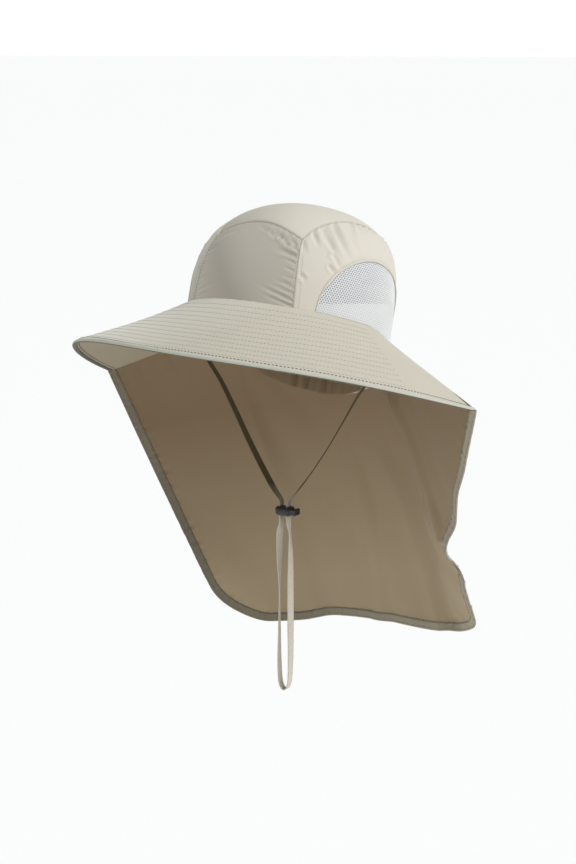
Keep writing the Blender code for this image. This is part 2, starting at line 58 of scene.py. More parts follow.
FRONT_CORNER_ANGLE = radians(31.5)
FRONT_SEAM_SIDE_HEIGHT = 0.0620
FRONT_SEAM_MIDDLE_HEIGHT = 0.0740
TOP_PANEL_BULGE = 0.013
BACK_PANEL_ANGLE = radians(35)
BACK_CORNER_HEIGHT = 0.050
SIDE_CROWDING = 0.6
RIM_TUCK = 0.003
FRONT_STEPS = (210, 120)
TOP_STEPS = 100
BACK_STEPS = 40
TOP_COLUMNS = 120
SIDE_FOOT_STEPS = 24
SIDE_ARCH_STEPS = 190
SIDE_LEVELS = 72
SEAM_VALLEY = 0.0011
SEAM_DEPTH = 0.0007
PINNED_REACH = 0.0035
FAR_SEAM_SHARE = 0.45
CORNER_EASE = (0.004, 0.032)
MIDDLE_SHARE = 0.3
MIRRORED_CREASES = 0.5
FRONT_GATHER_REACH = 0.006
FRONT_TICK_REACH = 0.0045
BACK_GATHER_REACH = 0.020
SIDE_PUCKER_REACH = 0.0055
SIDE_CREASE_SHARES = (0.15, 1.25)
ARCH_RIDGE = {"height": 0.0005, "place": 0.0010, "width": 0.0008}
ARCH_GROOVE = {"height": -0.0004, "place": 0.0032, "width": 0.0009}

# How a grid's middle is weighed to tell its outer side from its inner one
OUTWARD = np.array([1.0, 1.0, 0.3])

# Net windows and sweatband
NET_APEX_ANGLE = radians(86)
NET_FRONT_REACH = radians(39.5)
NET_BACK_REACH = radians(52)
NET_HEIGHT = 0.060
NET_INSET = 0.0014
NET_MARGIN = 0.0035
NET_PITCH = 0.0026
NET_ROW = 0.0019
NET_STRAND = 0.25
NET_WALL = 0.0004
BAND_INSET = 0.0030
BAND_WALL = 0.0010
BAND_STEPS = (900, 17)
BAND_BACK_START = radians(112)
BAND_BACK_EASE = radians(20)
BAND_BACK_INSET = 0.0014
BAND_LOW = (0.0010, 0.0042)
NET_CORNERS = [(0.0, 0.66), (0.5, 0.34), (0.5, -0.34), (0.0, -0.66), (-0.5, -0.34), (-0.5, 0.34)]

# Brim
BRIM_FRONT_REACH = 0.1727
BRIM_HALF_WIDTH = 0.1962
BRIM_END_SETBACK = 0.0053
BRIM_CORNER_REACH = 0.054
BRIM_DROP = 0.0580
BRIM_CORNER_LIFT = 0.0027
BRIM_TWIST = -0.0051
BRIM_BOW = -0.0024
BRIM_END_BOW = 0.0043
BRIM_WALL = 0.0020
BRIM_SHEET = 0.0016
BRIM_SLANT = 0.6
BRIM_END_ANGLE = radians(107)
BRIM_ROWS = 13
ROWS_END_ANGLE = radians(77)
ROW_DEPTH = 0.00035
ROW_ROUNDNESS = 0.6
ROWS_END_EASE = radians(2.5)
UNDERSIDE_SHARE = 0.6
BRIM_START = -0.02
EDGE_ROW = 0.965
BRIM_COLUMNS = 250
STEPS_PER_ROW = 7
EDGE_POINTS = 420
BINDING_RADIUS = 0.0021
BINDING_INNER_REACH = 1.25
BINDING_FLATNESS = 0.86
BINDING_SHIFT = 0.0004
BINDING_SIDES = 14
# Share of the binding's sides past which it takes the painted shade of its underside
BINDING_LOWER_START = 0.57

# Flap
FLAP_WALL = 0.0008
FLAP_HALF_WIDTH = 0.150
FLAP_REACH = 0.150
FLAP_DROP = 0.325
FLAP_CORNER_RADIUS = 0.052
FLAP_SEAM_SHARE = 0.24
FLAP_LEAVE_SHARE = 0.25
FLAP_OVERHANG = 1.03
FLAP_MIDDLE = 0.52
FLAP_CROWDING = 0.6
FOLD_FADE = 0.3
HEM_WIDTH = 0.0080
HEM_WALL = 0.0007
HEM_STEP = 0.0022
FLAP_STEPS = (200, 140)
EDGE_STEP = 0.0008
HEM_RIDGE_REACH = 0.006
EDGE_WAVE_REACH = 0.030
FLAP_GATHER_START = 0.004
FLAP_GATHER_REACH = 0.016

# The hem across its width: share of the way in, or metres near the edge, and share of its wall
HEM_PROFILE = [(-0.0004, -0.3), (-0.0006, 0.4), (0.0003, 1.0), (0.3, 1.0), (0.6, 1.0), (0.9, 1.0),
               (1.0, 0.7), (1.0, 0.0)]

# Stitches: pitch and radius by place, and how far rows lie from an edge
STITCH_PITCH = 0.0030
CROWN_STITCH_PITCH = 0.0027
BRIM_STITCH_PITCH = 0.0033
CROWN_STITCH_RADIUS = 0.00018
BRIM_STITCH_RADIUS = 0.00026
EDGE_STITCH_RADIUS = 0.00042
FLAP_STITCH_RADIUS = 0.00024
SEAM_INSET = 0.0012
SECOND_ROW_INSET = 0.0056
ARCH_ROW_INSET = 0.0024
HEM_ROW_INSET = 0.0010
HEM_STITCH_LIFT = 1.05
FLAP_STITCH_LIFT = 0.00005
STITCH_SHARE = 0.74
STITCH_SIDES = 5

# One stitch along its length: share of the way, thickness and lift as shares of its radius
STITCH_PROFILE = [(0.0, 0.35, -0.9), (0.18, 1.0, 0.0), (0.5, 1.1, 0.45), (0.82, 1.0, 0.0),
                  (1.0, 0.35, -0.9)]

# Small waves in the cloth: seed, number of sines, lowest and highest rate, height in metres
RIPPLES = {
    "front_gathers": (5, 7, 90, 190, 0.0003),
    "front_ticks": (7, 7, 160, 330, 0.00022),
    "front_wander": (3, 4, 8, 20, 0.0005),
    "top_wander": (8, 4, 8, 18, 0.0004),
    "back_gathers": (11, 6, 9, 22, 0.0009),
    "side_puckers": (19, 7, 90, 210, 0.00028),
    "side_wander": (17, 4, 8, 20, 0.0004),
    "band_gathers": (21, 9, 26, 62, 0.0019),
    "brim_wander": (31, 4, 5, 12, 0.0006),
    "row_puckers": (35, 5, 60, 140, 0.00012),
    "binding_rope": (41, 4, 60, 130, 0.00008),
    "hem_ridge": (51, 6, 50, 110, 0.0005),
    "edge_waves": (52, 5, 8, 18, 0.0004),
    "flap_gathers": (53, 8, 30, 75, 0.0006),
    "flap_wander": (54, 4, 2, 5, 0.0010),
    "hem_puckers": (61, 6, 80, 190, 0.0003),
}

# Camera, from the photograph's angle
CAMERA_LENS = 82.3
CAMERA_TURN = radians(32.9)
CAMERA_RISE = radians(11.0)
CAMERA_DISTANCE = 1.8
CAMERA_LEFT = 0.00119
CAMERA_DOWN = 0.0987

# Materials and stage
WEAVE_PITCH = 0.0006
TAPE_RIB_PITCH = 0.0009
TAPE_LINE_PITCH = 0.0010
# Heights over which the strap turns to its painted shade above the lock
TAPE_SHADE_RISE = (-0.185, -0.150)
FLOOR_HALF_SIZE = 400.0
FLOOR_HEIGHT = -1.6
SKY_RISE = (0.06, 0.20)
SKY_STRENGTH = (1.05, 0.46)
SHADED_WAY = (0.25, -0.97, 0.0)
SHADED_STRENGTH = 0.56

# Flap stations, evenly spaced from the left front edge round the back to the right front edge
FLAP_STATIONS = [
    {"middle": (0.980, 0.380, 0.615), "hem": (1.090, 0.600, 0.905)},
    {"middle": (0.700, 0.610, 0.585), "hem": (0.810, 0.727, 0.922)},
    {"middle": (0.530, 0.755, 0.570), "hem": (0.540, 0.847, 0.948)},
    {"middle": (0.290, 0.860, 0.570), "hem": (0.290, 0.953, 0.961)},
    {"middle": (0.010, 0.895, 0.570), "hem": (0.030, 0.998, 0.968)},
    {"middle": (-0.29, 0.860, 0.570), "hem": (-0.237, 0.970, 0.974)},
    {"middle": (-0.58, 0.755, 0.570), "hem": (-0.487, 0.883, 0.997)},
    {"middle": (-0.84, 0.530, 0.585), "hem": (-0.700, 0.727, 0.998)},
    {"middle": (-1.07, 0.250, 0.626), "hem": (-0.853, 0.520, 0.976)},
]

# Folds in the flap: start and end as shares across and down, depth as a share of the reach
FLAP_FOLDS = [
    {"start": (0.36, 0.05), "end": (0.00, 0.55), "depth": -0.040, "half_width": 0.085},
    {"start": (0.26, 0.50), "end": (0.00, 0.57), "depth": -0.036, "half_width": 0.135},
    {"start": (0.10, 0.02), "end": (0.00, 0.19), "depth": 0.024, "half_width": 0.130},
    {"start": (0.43, 0.15), "end": (0.16, 0.95), "depth": 0.040, "half_width": 0.070},
    {"start": (0.55, 0.10), "end": (0.47, 1.00), "depth": -0.025, "half_width": 0.050},
    {"start": (0.72, 0.10), "end": (0.66, 1.00), "depth": 0.022, "half_width": 0.060},
]

# A sharp crease in the flap, in the same form
FLAP_CREASES = [
    {"start": (0.37, 0.02), "end": (0.035, 0.52), "depth": -0.030, "half_width": 0.028},
]

# Chin strap
STRAP_WIDTH = 0.007
STRAP_THICKNESS = 0.0010
STRAP_STEPS = 520
STRAP_SECTION = [(-1.0, -0.3), (-0.94, -1.0), (-0.5, -0.82), (0.0, -0.78), (0.5, -0.82), (0.94, -1.0),
                 (1.0, -0.3), (1.0, 0.3), (0.94, 1.0), (0.5, 0.82), (0.0, 0.78), (-0.5, 0.82),
                 (-0.94, 1.0), (-1.0, 0.3)]

# The strap's middle line, in metres, and the way its width faces, in degrees
STRAP_ROUTE = [
    (-0.0912, 0.0010, -0.0048, 90),
    (-0.0945, 0.0010, -0.0125, 92),
    (-0.0972, 0.0008, -0.0215, 96),
    (-0.0955, 0.0000, -0.0310, 97),
    (-0.0880, -0.0015, -0.0425, 97),
    (-0.0750, -0.0020, -0.0590, 94),
    (-0.0600, -0.0020, -0.0835, 88),
    (-0.0457, -0.0020, -0.1085, 80),
    (-0.0307, -0.0020, -0.1330, 74),
    (-0.0158, -0.0022, -0.1550, 74),
    (-0.0079, -0.0028, -0.1640, 86),
    (-0.0068, -0.0030, -0.1690, 90),
    (-0.0068, -0.0030, -0.1746, 90),
    (-0.0068, -0.0030, -0.1820, 90),
    (-0.0070, -0.0030, -0.1880, 84),
    (-0.0084, -0.0030, -0.1970, 54),
    (-0.0090, -0.0030, -0.2200, 80),
    (-0.0088, -0.0030, -0.2500, 116),
    (-0.0090, -0.0030, -0.2850, 110),
    (-0.0090, -0.0030, -0.3200, 94),
    (-0.0076, -0.0030, -0.3410, 90),
    (-0.0028, -0.0030, -0.3475, 90),
    (0.0020, -0.0030, -0.3410, 90),
    (0.0034, -0.0030, -0.3200, 80),
    (0.0034, -0.0030, -0.2850, 70),
    (0.0032, -0.0030, -0.2500, 68),
    (0.0034, -0.0030, -0.2200, 84),
    (0.0028, -0.0030, -0.1970, 110),
    (0.0014, -0.0030, -0.1880, 93),
    (0.0012, -0.0030, -0.1820, 90),
    (0.0012, -0.0030, -0.1746, 90),
    (0.0012, -0.0030, -0.1690, 90),
    (0.0023, -0.0028, -0.1640, 93),
    (0.0102, -0.0022, -0.1550, 104),
    (0.0273, -0.0020, -0.1330, 114),
    (0.0443, -0.0020, -0.1085, 114),
    (0.0600, -0.0020, -0.0835, 110),
    (0.0750, -0.0020, -0.0590, 102),
    (0.0880, -0.0015, -0.0425, 92),
    (0.0955, 0.0000, -0.0310, 86),
    (0.0972, 0.0008, -0.0215, 84),
    (0.0945, 0.0010, -0.0125, 88),
    (0.0912, 0.0010, -0.0048, 90),
]

# A crease across its width: how far it runs on past its start, and its raised shoulders
CREASE_LEAD = -0.2
CREASE_EASE = 0.8
SHOULDER = {"height": 0.45, "place": 1.6, "width": 0.8}

# Creases on the crown: rim angle in degrees and height in mm at each end, depth in mm and half
# width in mm. Each is deepest at its first end.
SIDE_GATHERS = [
    (35.7, 72.8, 43.5, 56.5, 1.5, 2.4),
    (38.0, 75.8, 50.0, 56.0, 1.2, 1.9),
    (40.0, 78.5, 61.0, 42.5, 2.1, 2.3),
    (42.7, 81.1, 52.1, 64.2, 1.3, 2.0),
    (44.7, 82.8, 54.0, 68.0, 1.1, 1.8),
    (46.6, 84.5, 66.0, 48.5, 2.1, 2.3),
    (50.6, 86.2, 57.4, 75.9, 1.5, 1.9),
    (54.5, 87.8, 70.5, 58.0, 1.6, 2.1),
    (58.3, 88.9, 67.5, 68.0, 1.5, 2.0),
    (64.6, 93.0, 72.0, 82.4, 1.3, 2.0),
    (72.0, 94.5, 77.0, 80.0, 1.0, 2.0),
    (79.5, 96.3, 83.7, 82.6, 1.1, 2.2),
    (87.0, 96.0, 90.0, 82.0, 0.9, 2.2),
    (95.0, 95.0, 96.0, 82.0, 1.0, 2.2),
    (103.0, 91.0, 103.0, 76.0, 1.1, 2.4),
    (112.0, 87.0, 110.0, 70.0, 0.9, 2.4),
    (121.0, 80.0, 117.0, 64.0, 0.9, 2.4),
    (52.5, 52.1, 59.2, 41.0, 1.3, 2.0),
    (51.0, 42.5, 55.0, 37.9, 1.0, 1.8),
    (33.2, 57.8, 36.7, 48.1, 0.8, 2.4),
    (36.5, 30.2, 39.2, 26.5, 0.8, 2.2),
]
FRONT_CREASES = [
    (32.1, -0.5, 24.2, 2.5, 0.3, 1.4),
    (32.8, 3.1, 14.0, 11.0, 0.65, 1.6),
    (32.5, 8.1, 10.5, 19.0, 0.75, 1.8),
    (32.2, 14.1, 19.0, 20.0, 0.35, 1.6),
    (32.0, 20.3, 21.5, 24.3, 0.5, 1.6),
    (31.8, 26.4, 23.5, 30.0, 0.35, 1.5),
    (31.7, 33.3, 24.5, 36.6, 0.5, 1.3),
    (31.5, 40.4, 23.0, 44.7, 0.55, 1.5),
    (31.2, 46.6, 16.6, 51.5, 1.4, 2.2),
    (30.8, 52.0, 21.8, 57.2, 0.9, 1.6),
    (22.8, 58.8, 15.9, 66.0, 1.3, 2.2),
    (27.5, 57.8, 20.6, 66.2, 1.0, 1.8),
    (14.2, 62.5, 7.4, 68.4, 0.8, 1.8),
    (17.8, 62.3, 11.6, 68.4, 0.9, 1.8),
    (7.0, 67.1, 0.0, 71.0, 0.5, 1.8),
]

# Level upper edge of the inner band: rim angle in degrees and height in mm
BAND_TOP = [(0, 24), (30, 18), (48, 10), (57, 13), (66, 16.2), (76, 20), (90, 24.7), (108, 30), (122, 24),
            (140, 0), (160, -12), (180, -18)]

# How far the inner band hangs below its even line: rim angle in degrees and drop in mm
BAND_DROOP = [(-180, 0), (-165, 1.5), (-150, 6), (-135, 10), (-120, 8), (-105, 0), (180, 0)]


def smooth_step(value):
    """Ease from 0 to 1."""
    share = np.clip(value, 0.0, 1.0)
    return share * share * (3 - 2 * share)


def mix(a, b, share):
    """The value a share of the way from a to b."""
    return a + (b - a) * share


def shares(count):
    """Evenly spaced shares from 0 to 1, one more than the count of steps."""
    return np.linspace(0.0, 1.0, count + 1)


def crowded(values, crowding):
    """Shares moved closer together near both ends."""
    return values - crowding * np.sin(2 * pi * values) / (2 * pi)


def catmull(rows, share):
    """A smooth curve through equally spaced rows of numbers, read at shares of its length."""
    rows = np.asarray(rows, float)
    spot = np.clip(share, 0.0, 1.0) * (len(rows) - 1)
    i = np.minimum(spot.astype(int), len(rows) - 2)
    t = (spot - i)[..., None]
    p0 = rows[np.maximum(i - 1, 0)]
    p1 = rows[i]
    p2 = rows[i + 1]
    p3 = rows[np.minimum(i + 2, len(rows) - 1)]
    square = 2 * p0 - 5 * p1 + 4 * p2 - p3
    cube = 3 * p1 - p0 - 3 * p2 + p3
    return (2 * p1 + (p2 - p0) * t + square * t ** 2 + cube * t ** 3) / 2


def lengths_along(points, axis):
    """Length from the start of each line of a grid of points, along one of its two axes."""
    steps = np.linalg.norm(np.diff(points, axis=axis), axis=-1)
    start = np.zeros_like(np.take(steps, [0], axis=axis))
    return np.concatenate([start, np.cumsum(steps, axis=axis)], axis=axis)


def unit(vectors):
    """Vectors of length one."""
    return vectors / np.linalg.norm(vectors, axis=-1, keepdims=True)


def crossed(points):
    """Cross products over a grid of points, and whether they point towards the hat's axis."""
    normals = np.cross(np.gradient(points, axis=1), np.gradient(points, axis=0))
    middle = points.shape[0] // 2, points.shape[1] // 2
    return normals, bool(normals[middle] @ (points[middle] * OUTWARD) < 0)


def grid_normals(points):
    """Unit normals of a grid of points, away from the hat's axis."""
    normals, inward = crossed(points)
    normals /= np.maximum(np.linalg.norm(normals, axis=-1, keepdims=True), 1e-12)
    return -normals if inward else normals


def waves(values, seed, count, low, high):
    """A smooth wandering wave along values, from a seeded handful of sines, about -1 to 1."""
    random = np.random.default_rng(seed)
    total = np.zeros_like(values, float)
    for _ in range(count):
        rate = random.uniform(low, high)
        total += np.sin(values * rate * 2 * pi + random.uniform(0, 2 * pi)) * random.uniform(0.5, 1)
    return total / count ** 0.5


def ripples(name, values, side=0):
    """The small waves of one row of the table, along values."""
    seed, count, low, high, height = RIPPLES[name]
    return height * waves(values, seed + side, count, low, high)


# Surfaces shared with the CAD model

def rim_drop(angle):
    turn = pi - np.abs(pi - np.abs(angle))
    return RIM_DIP * smooth_step((turn - DIP_START) / (pi - DIP_START))


def crown_shrink(height):
    share = np.clip(height / CROWN_HEIGHT, 0.0, 1.0)
    return (1 - share ** CROWN_SQUARENESS) ** (1 / CROWN_SQUARENESS)


def crown_points(angle, height, inset=0.0):
    """Points on the upright crown."""
    angle, height = np.broadcast_arrays(angle, height)
    shrink = crown_shrink(height)
    x = (RIM_HALF_WIDTH - inset) * shrink * np.sin(angle)
    y = -(RIM_HALF_LENGTH - inset) * shrink * np.cos(angle)
    return np.stack([x, y, height], -1)


def crown_over(spots):
    """Points of the upright crown's top above places in plan."""
    x, y = spots[..., 0], spots[..., 1]
    reach = np.minimum(np.hypot(x / RIM_HALF_WIDTH, y / RIM_HALF_LENGTH), 1.0)
    rise = (1 - reach ** CROWN_SQUARENESS) ** (1 / CROWN_SQUARENESS)
    return np.stack([x, y, CROWN_HEIGHT * rise], -1)


def leaned(points):
    """Points turned back as the hat is worn."""
    c, s = cos(LEAN_BACK), sin(LEAN_BACK)
    x, y, z = points[..., 0], points[..., 1], points[..., 2]
    return np.stack([x, c * y + s * z, c * z - s * y], -1)


def worn(points):
    """Points of the upright crown, swept and turned back as the hat is worn."""
    x, y, z = points[..., 0], points[..., 1], points[..., 2]
    tip = np.clip(z / CROWN_HEIGHT, 0.0, 1.0) ** 4
    back = CROWN_SWEEP * z + CROWN_TIP_BACK * tip
    return leaned(np.stack([x, y + back, z + CROWN_TIP_TILT * y * tip], -1))


def front_seam_height(share):
    return mix(FRONT_SEAM_SIDE_HEIGHT, FRONT_SEAM_MIDDLE_HEIGHT, np.cos(pi * (share - 0.5)))


def top_seam_spots(across, along):
    front_angle = mix(-FRONT_CORNER_ANGLE, FRONT_CORNER_ANGLE, across)
    front = crown_points(front_angle, front_seam_height(across))
    back_angle = pi - mix(-BACK_PANEL_ANGLE, BACK_PANEL_ANGLE, across)
    back = crown_points(back_angle, np.full_like(back_angle, BACK_CORNER_HEIGHT))
    spots = front + (back - front) * along[..., None]
    spots[..., 0] += mix(-TOP_PANEL_BULGE, TOP_PANEL_BULGE, across) * np.sin(pi * along)
    return spots


def net_arch(turn):
    reach = np.where(turn < 0, NET_FRONT_REACH, NET_BACK_REACH)
    angle = NET_APEX_ANGLE + turn * reach
    rise = np.sqrt(np.maximum(1 - turn ** 2, 0.0))
    return angle, mix(-rim_drop(angle), NET_HEIGHT, rise)


def brim_rim_points(angle):
    clear = BRIM_WALL * BRIM_SLANT
    spots = crown_points(angle, -rim_drop(angle), -clear)
    spots[..., 1] += CROWN_SWEEP * spots[..., 2]
    spots[..., 2] += BRIM_WALL / 2
    return spots


def brim_edge_points(angle):
    turn = angle / BRIM_END_ANGLE * pi / 2
    x = BRIM_HALF_WIDTH * np.sin(turn)
    reach = (BRIM_FRONT_REACH + BRIM_END_SETBACK) * (1 + BRIM_CORNER_REACH * np.sin(turn) ** 2)
    rise = BRIM_CORNER_LIFT * np.sin(2 * turn) ** 2 + BRIM_TWIST * np.sin(2 * turn)
    return np.stack([x, BRIM_END_SETBACK - reach * np.cos(turn), rise - BRIM_DROP], -1)


def brim_points(angle, out):
    start = brim_rim_points(angle)
    spots = start + (brim_edge_points(angle) - start) * out[..., None]
    turn = angle / BRIM_END_ANGLE * pi / 2
    spots[..., 2] += (BRIM_BOW + BRIM_END_BOW * np.sin(turn) ** 2) * np.sin(pi * out)
    return spots


def flap_top_points(across):
    side = np.where(across < 0.5, 1.0, -1.0)
    from_edge = np.minimum(across, 1 - across)
    out = FLAP_OVERHANG * (1 - from_edge / FLAP_SEAM_SHARE)
    beside = brim_points(np.full_like(across, BRIM_END_ANGLE), out)
    share = (from_edge - FLAP_SEAM_SHARE) / (0.5 - FLAP_SEAM_SHARE)
    leave = smooth_step(share / FLAP_LEAVE_SHARE)
    angle = mix(BRIM_END_ANGLE, pi, np.clip(share, 0.0, 1.0))
    clear = BRIM_WALL * BRIM_SLANT * (1 - leave)
    round_back = crown_points(angle, -rim_drop(angle), 0.0)
    round_back[..., 0] *= 1 + clear / RIM_HALF_WIDTH
    round_back[..., 1] *= 1 + clear / RIM_HALF_LENGTH
    round_back[..., 1] += CROWN_SWEEP * round_back[..., 2]
    round_back[..., 2] += BRIM_WALL / 2 * (1 - leave)
    spots = np.where((from_edge < FLAP_SEAM_SHARE)[..., None], beside, round_back)
    spots[..., 0] *= side
    spots[..., 1] += FLAP_WALL
    return leaned(spots)


def flap_controls(across, place):
    rows = [station[place] for station in FLAP_STATIONS]
    size = np.array([FLAP_HALF_WIDTH, FLAP_REACH, -FLAP_DROP])
    return catmull(rows, across) * size


def fold_offset(folds, across, down):
    """How far the folds in a table push the cloth out."""
    offset = np.zeros_like(across)
    for fold in folds:
        start = np.array(fold["start"])
        run = np.array(fold["end"]) - start
        from_start = np.stack([across, down], -1) - start
        along = from_start @ run / (run @ run)
        nearest = run * np.clip(along, 0.0, 1.0)[..., None]
        aside = np.linalg.norm(from_start - nearest, axis=-1) / fold["half_width"]
        height = fold["depth"] * FLAP_REACH * smooth_step(along / FOLD_FADE)
        offset += height * np.maximum(0.0, 1 - aside ** 2) ** 2
    return offset


def flap_points(across, down):
    """Points on the flap's outer face, by shares across and down."""
    across, down = np.broadcast_arrays(across, down)
    a = (down - FLAP_MIDDLE) * (down - 1) / FLAP_MIDDLE
    b = down * (down - 1) / (FLAP_MIDDLE * (FLAP_MIDDLE - 1))
    c = down * (down - FLAP_MIDDLE) / (1 - FLAP_MIDDLE)
    top = flap_top_points(across)
    middle = flap_controls(across, "middle")
    hem = flap_controls(across, "hem")
    spots = top * a[..., None] + middle * b[..., None] + hem * c[..., None]
    outward = spots * np.array([1.0, 1.0, 0.0])
    outward /= np.linalg.norm(outward, axis=-1, keepdims=True)
    return spots + outward * fold_offset(FLAP_FOLDS, across, down)[..., None]


# Camera

def make_camera():
    camera = bpy.data.cameras.new("camera")
    camera.lens = CAMERA_LENS
    made = bpy.data.objects.new("camera", camera)
    bpy.context.collection.objects.link(made)
    turn, rise = CAMERA_TURN, CAMERA_RISE
    back = Vector((sin(turn) * cos(rise), -cos(turn) * cos(rise), sin(rise)))
    right = Vector((cos(turn), sin(turn), 0))
    up = back.cross(right)
    made.rotation_euler = Matrix((right, up, back)).transposed().to_euler()
    made.location = back * CAMERA_DISTANCE - right * CAMERA_LEFT - up * CAMERA_DOWN
    bpy.context.scene.camera = made


# Materials

def put(tree, value, socket):
    """Lead another socket into this one, or set its number."""
    if isinstance(value, bpy.types.NodeSocket):
        tree.links.new(value, socket)
    else:
        socket.default_value = value


def mapped(tree, value, source, target):
    """A value carried from one range to another."""
    node = tree.nodes.new("ShaderNodeMapRange")
    tree.links.new(value, node.inputs["Value"])
    for word, number in zip(("From Min", "From Max", "To Min", "To Max"), (*source, *target)):
        node.inputs[word].default_value = number
    return node.outputs[0]


class Nodes:
    """A short way to build a material's nodes."""

    def __init__(self, name):
        self.material = bpy.data.materials.new(name)
        self.material.use_nodes = True
        self.tree = self.material.node_tree
        self.shader = self.tree.nodes["Principled BSDF"]

    def add(self, kind, **settings):
        node = self.tree.nodes.new(kind)
        for key, value in settings.items():
            if key in node.inputs:
                node.inputs[key].default_value = value
            else:
                setattr(node, key, value)
        return node

    def place(self):
        return self.add("ShaderNodeTexCoord").outputs["Object"]

    def split(self, vector):
        node = self.add("ShaderNodeSeparateXYZ")
        put(self.tree, vector, node.inputs[0])
        return node.outputs

    def flat(self):
        """The cloth's own flat coordinates."""
        return self.split(self.add("ShaderNodeUVMap", uv_map="flat").outputs[0])

    def noise(self, place, scale, detail, roughness=0.5):
        node = self.add("ShaderNodeTexNoise", Scale=scale, Detail=detail, Roughness=roughness)
        put(self.tree, place, node.inputs["Vector"])
        return node.outputs["Fac"]

    def maths(self, operation, *values):
        node = self.add("ShaderNodeMath", operation=operation)
        for socket, value in zip(node.inputs, values):
            put(self.tree, value, socket)
        return node.outputs[0]

    def times_plus(self, value, factor, added):
        return self.maths("ADD", self.maths("MULTIPLY", value, factor), added)

    def wave(self, value, pitch):
        return self.maths("SINE", self.maths("MULTIPLY", value, 2 * pi / pitch))

    def tinted(self, factor, *colours):
        """A blend of two colours, each given as three numbers or as a socket."""
        node = self.add("ShaderNodeMix", data_type="RGBA")
        put(self.tree, factor, node.inputs[0])
        for socket, colour in zip((node.inputs[6], node.inputs[7]), colours):
            made = isinstance(colour, bpy.types.NodeSocket)
            put(self.tree, colour if made else (*colour, 1.0), socket)
        return node.outputs[2]

    def surface(self, colour, height, strength, distance, sockets):
        """The material, with its colour, its bump and its other sockets."""
        relief = self.add("ShaderNodeBump", Strength=strength, Distance=distance)
        put(self.tree, height, relief.inputs["Height"])
        sockets = {"Base Color": colour, "Normal": relief.outputs[0], **sockets}
        for name, value in sockets.items():
            put(self.tree, value, self.shader.inputs[name])
        return self.material


def painted_light_colour(nodes, place, colour, pale, start, end):
    """A colour blended into another between two places on the hat: painted light or painted shade standing
    in for how light falls across the piece.
    """
    run = Vector(end) - Vector(start)
    offset = nodes.add("ShaderNodeVectorMath", operation="SUBTRACT")
    put(nodes.tree, place, offset.inputs[0])
    offset.inputs[1].default_value = start
    along = nodes.add("ShaderNodeVectorMath", operation="DOT_PRODUCT")
    put(nodes.tree, offset.outputs[0], along.inputs[0])
    along.inputs[1].default_value = run / run.length_squared
    share = nodes.add("ShaderNodeClamp")
    put(nodes.tree, along.outputs["Value"], share.inputs["Value"])
    return nodes.tinted(share.outputs[0], colour, pale)


def cloth_finish(name, colour, bump=0.10, spread=0.06, roughness=0.85, painted_light=None):
    """A matt fine woven cloth, with soft patches and slubs in its colour, and where asked a painted light or
    painted shade blended across it.
    """
    nodes = Nodes(name)
    place = nodes.place()
    patches = nodes.noise(place, 22.0, 3.0, 0.55)
    grain = nodes.noise(place, 900.0, 2.0, 0.6)
    across, along, _ = nodes.flat()
    woven = nodes.maths("MULTIPLY", nodes.wave(across, WEAVE_PITCH), nodes.wave(along, WEAVE_PITCH))
    tone = nodes.times_plus(patches, 0.55, nodes.maths("MULTIPLY", grain, 0.45))
    dark = [c * (1 - spread) for c in colour]
    light = [min(c * (1 + spread), 1.0) for c in colour]
    shown = nodes.tinted(tone, dark, light)
    # Painted light or painted shade, blended in between two places on the hat
    if painted_light:
        shown = painted_light_colour(nodes, place, shown, *painted_light)
    height = nodes.times_plus(woven, 0.35, grain)
    rough = nodes.times_plus(grain, 0.12, roughness - 0.06)
    sockets = {"Roughness": rough, "Specular IOR Level": 0.25, "Sheen Weight": 0.12, "Sheen Roughness": 0.4}
    return nodes.surface(shown, height, bump, 0.0004, sockets)


def tape_finish(name, colour, upper):
    """A flat woven tape with fine ribs across it, turning to a dark painted shade above the lock, where the
    strands lie in the hat's shadow.
    """
    nodes = Nodes(name)
    along, across, _ = nodes.flat()
    lines = nodes.maths("MULTIPLY", nodes.wave(across, TAPE_LINE_PITCH), 0.5)
    woven = nodes.times_plus(nodes.wave(along, TAPE_RIB_PITCH), 0.5, lines)
    place = nodes.place()
    tone = nodes.times_plus(woven, 0.18, nodes.noise(place, 700.0, 2.0))
    unshaded_tape = nodes.tinted(tone, [c * 0.78 for c in colour], [c * 1.18 for c in colour])
    # Painted shade: the tape darkens above the lock, where the hat shades it
    level = mapped(nodes.tree, nodes.split(place)[2], TAPE_SHADE_RISE, (0.0, 1.0))
    shown = nodes.tinted(level, unshaded_tape, upper)
    sockets = {"Roughness": 0.75, "Specular IOR Level": 0.25, "Sheen Weight": 0.05}
    return nodes.surface(shown, tone, 0.5, 0.0003, sockets)


def thread_finish(name, colour):
    """Twisted sewing thread."""
    nodes = Nodes(name)
    twist = nodes.noise(nodes.place(), 2500.0, 1.0)
    shown = nodes.tinted(twist, [c * 0.85 for c in colour], [c * 1.12 for c in colour])
    return nodes.surface(shown, twist, 0.4, 0.0002, {"Roughness": 0.6})


def plastic_finish(name, colour):
    """Gloss moulded plastic with a faint ripple and fine rubbing."""
    nodes = Nodes(name)
    place = nodes.place()
    ripple = nodes.noise(place, 260.0, 2.0)
    rubbed = nodes.noise(place, 1400.0, 3.0)
    shown = nodes.tinted(rubbed, colour, [c * 2.2 for c in colour])
    rough = nodes.times_plus(rubbed, 0.16, 0.14)
    return nodes.surface(shown, ripple, 0.12, 0.0004, {"Roughness": rough})


# Piece builders

def mesh_piece(name, points, faces, finish, smooth=True):
    mesh = bpy.data.meshes.new(name)
    mesh.from_pydata(np.asarray(points).reshape(-1, 3).tolist(), [], [list(f) for f in faces])
    if smooth:
        mesh.shade_smooth()
    mesh.materials.append(finish)
    made = bpy.data.objects.new(name, mesh)
    bpy.context.collection.objects.link(made)
    return made


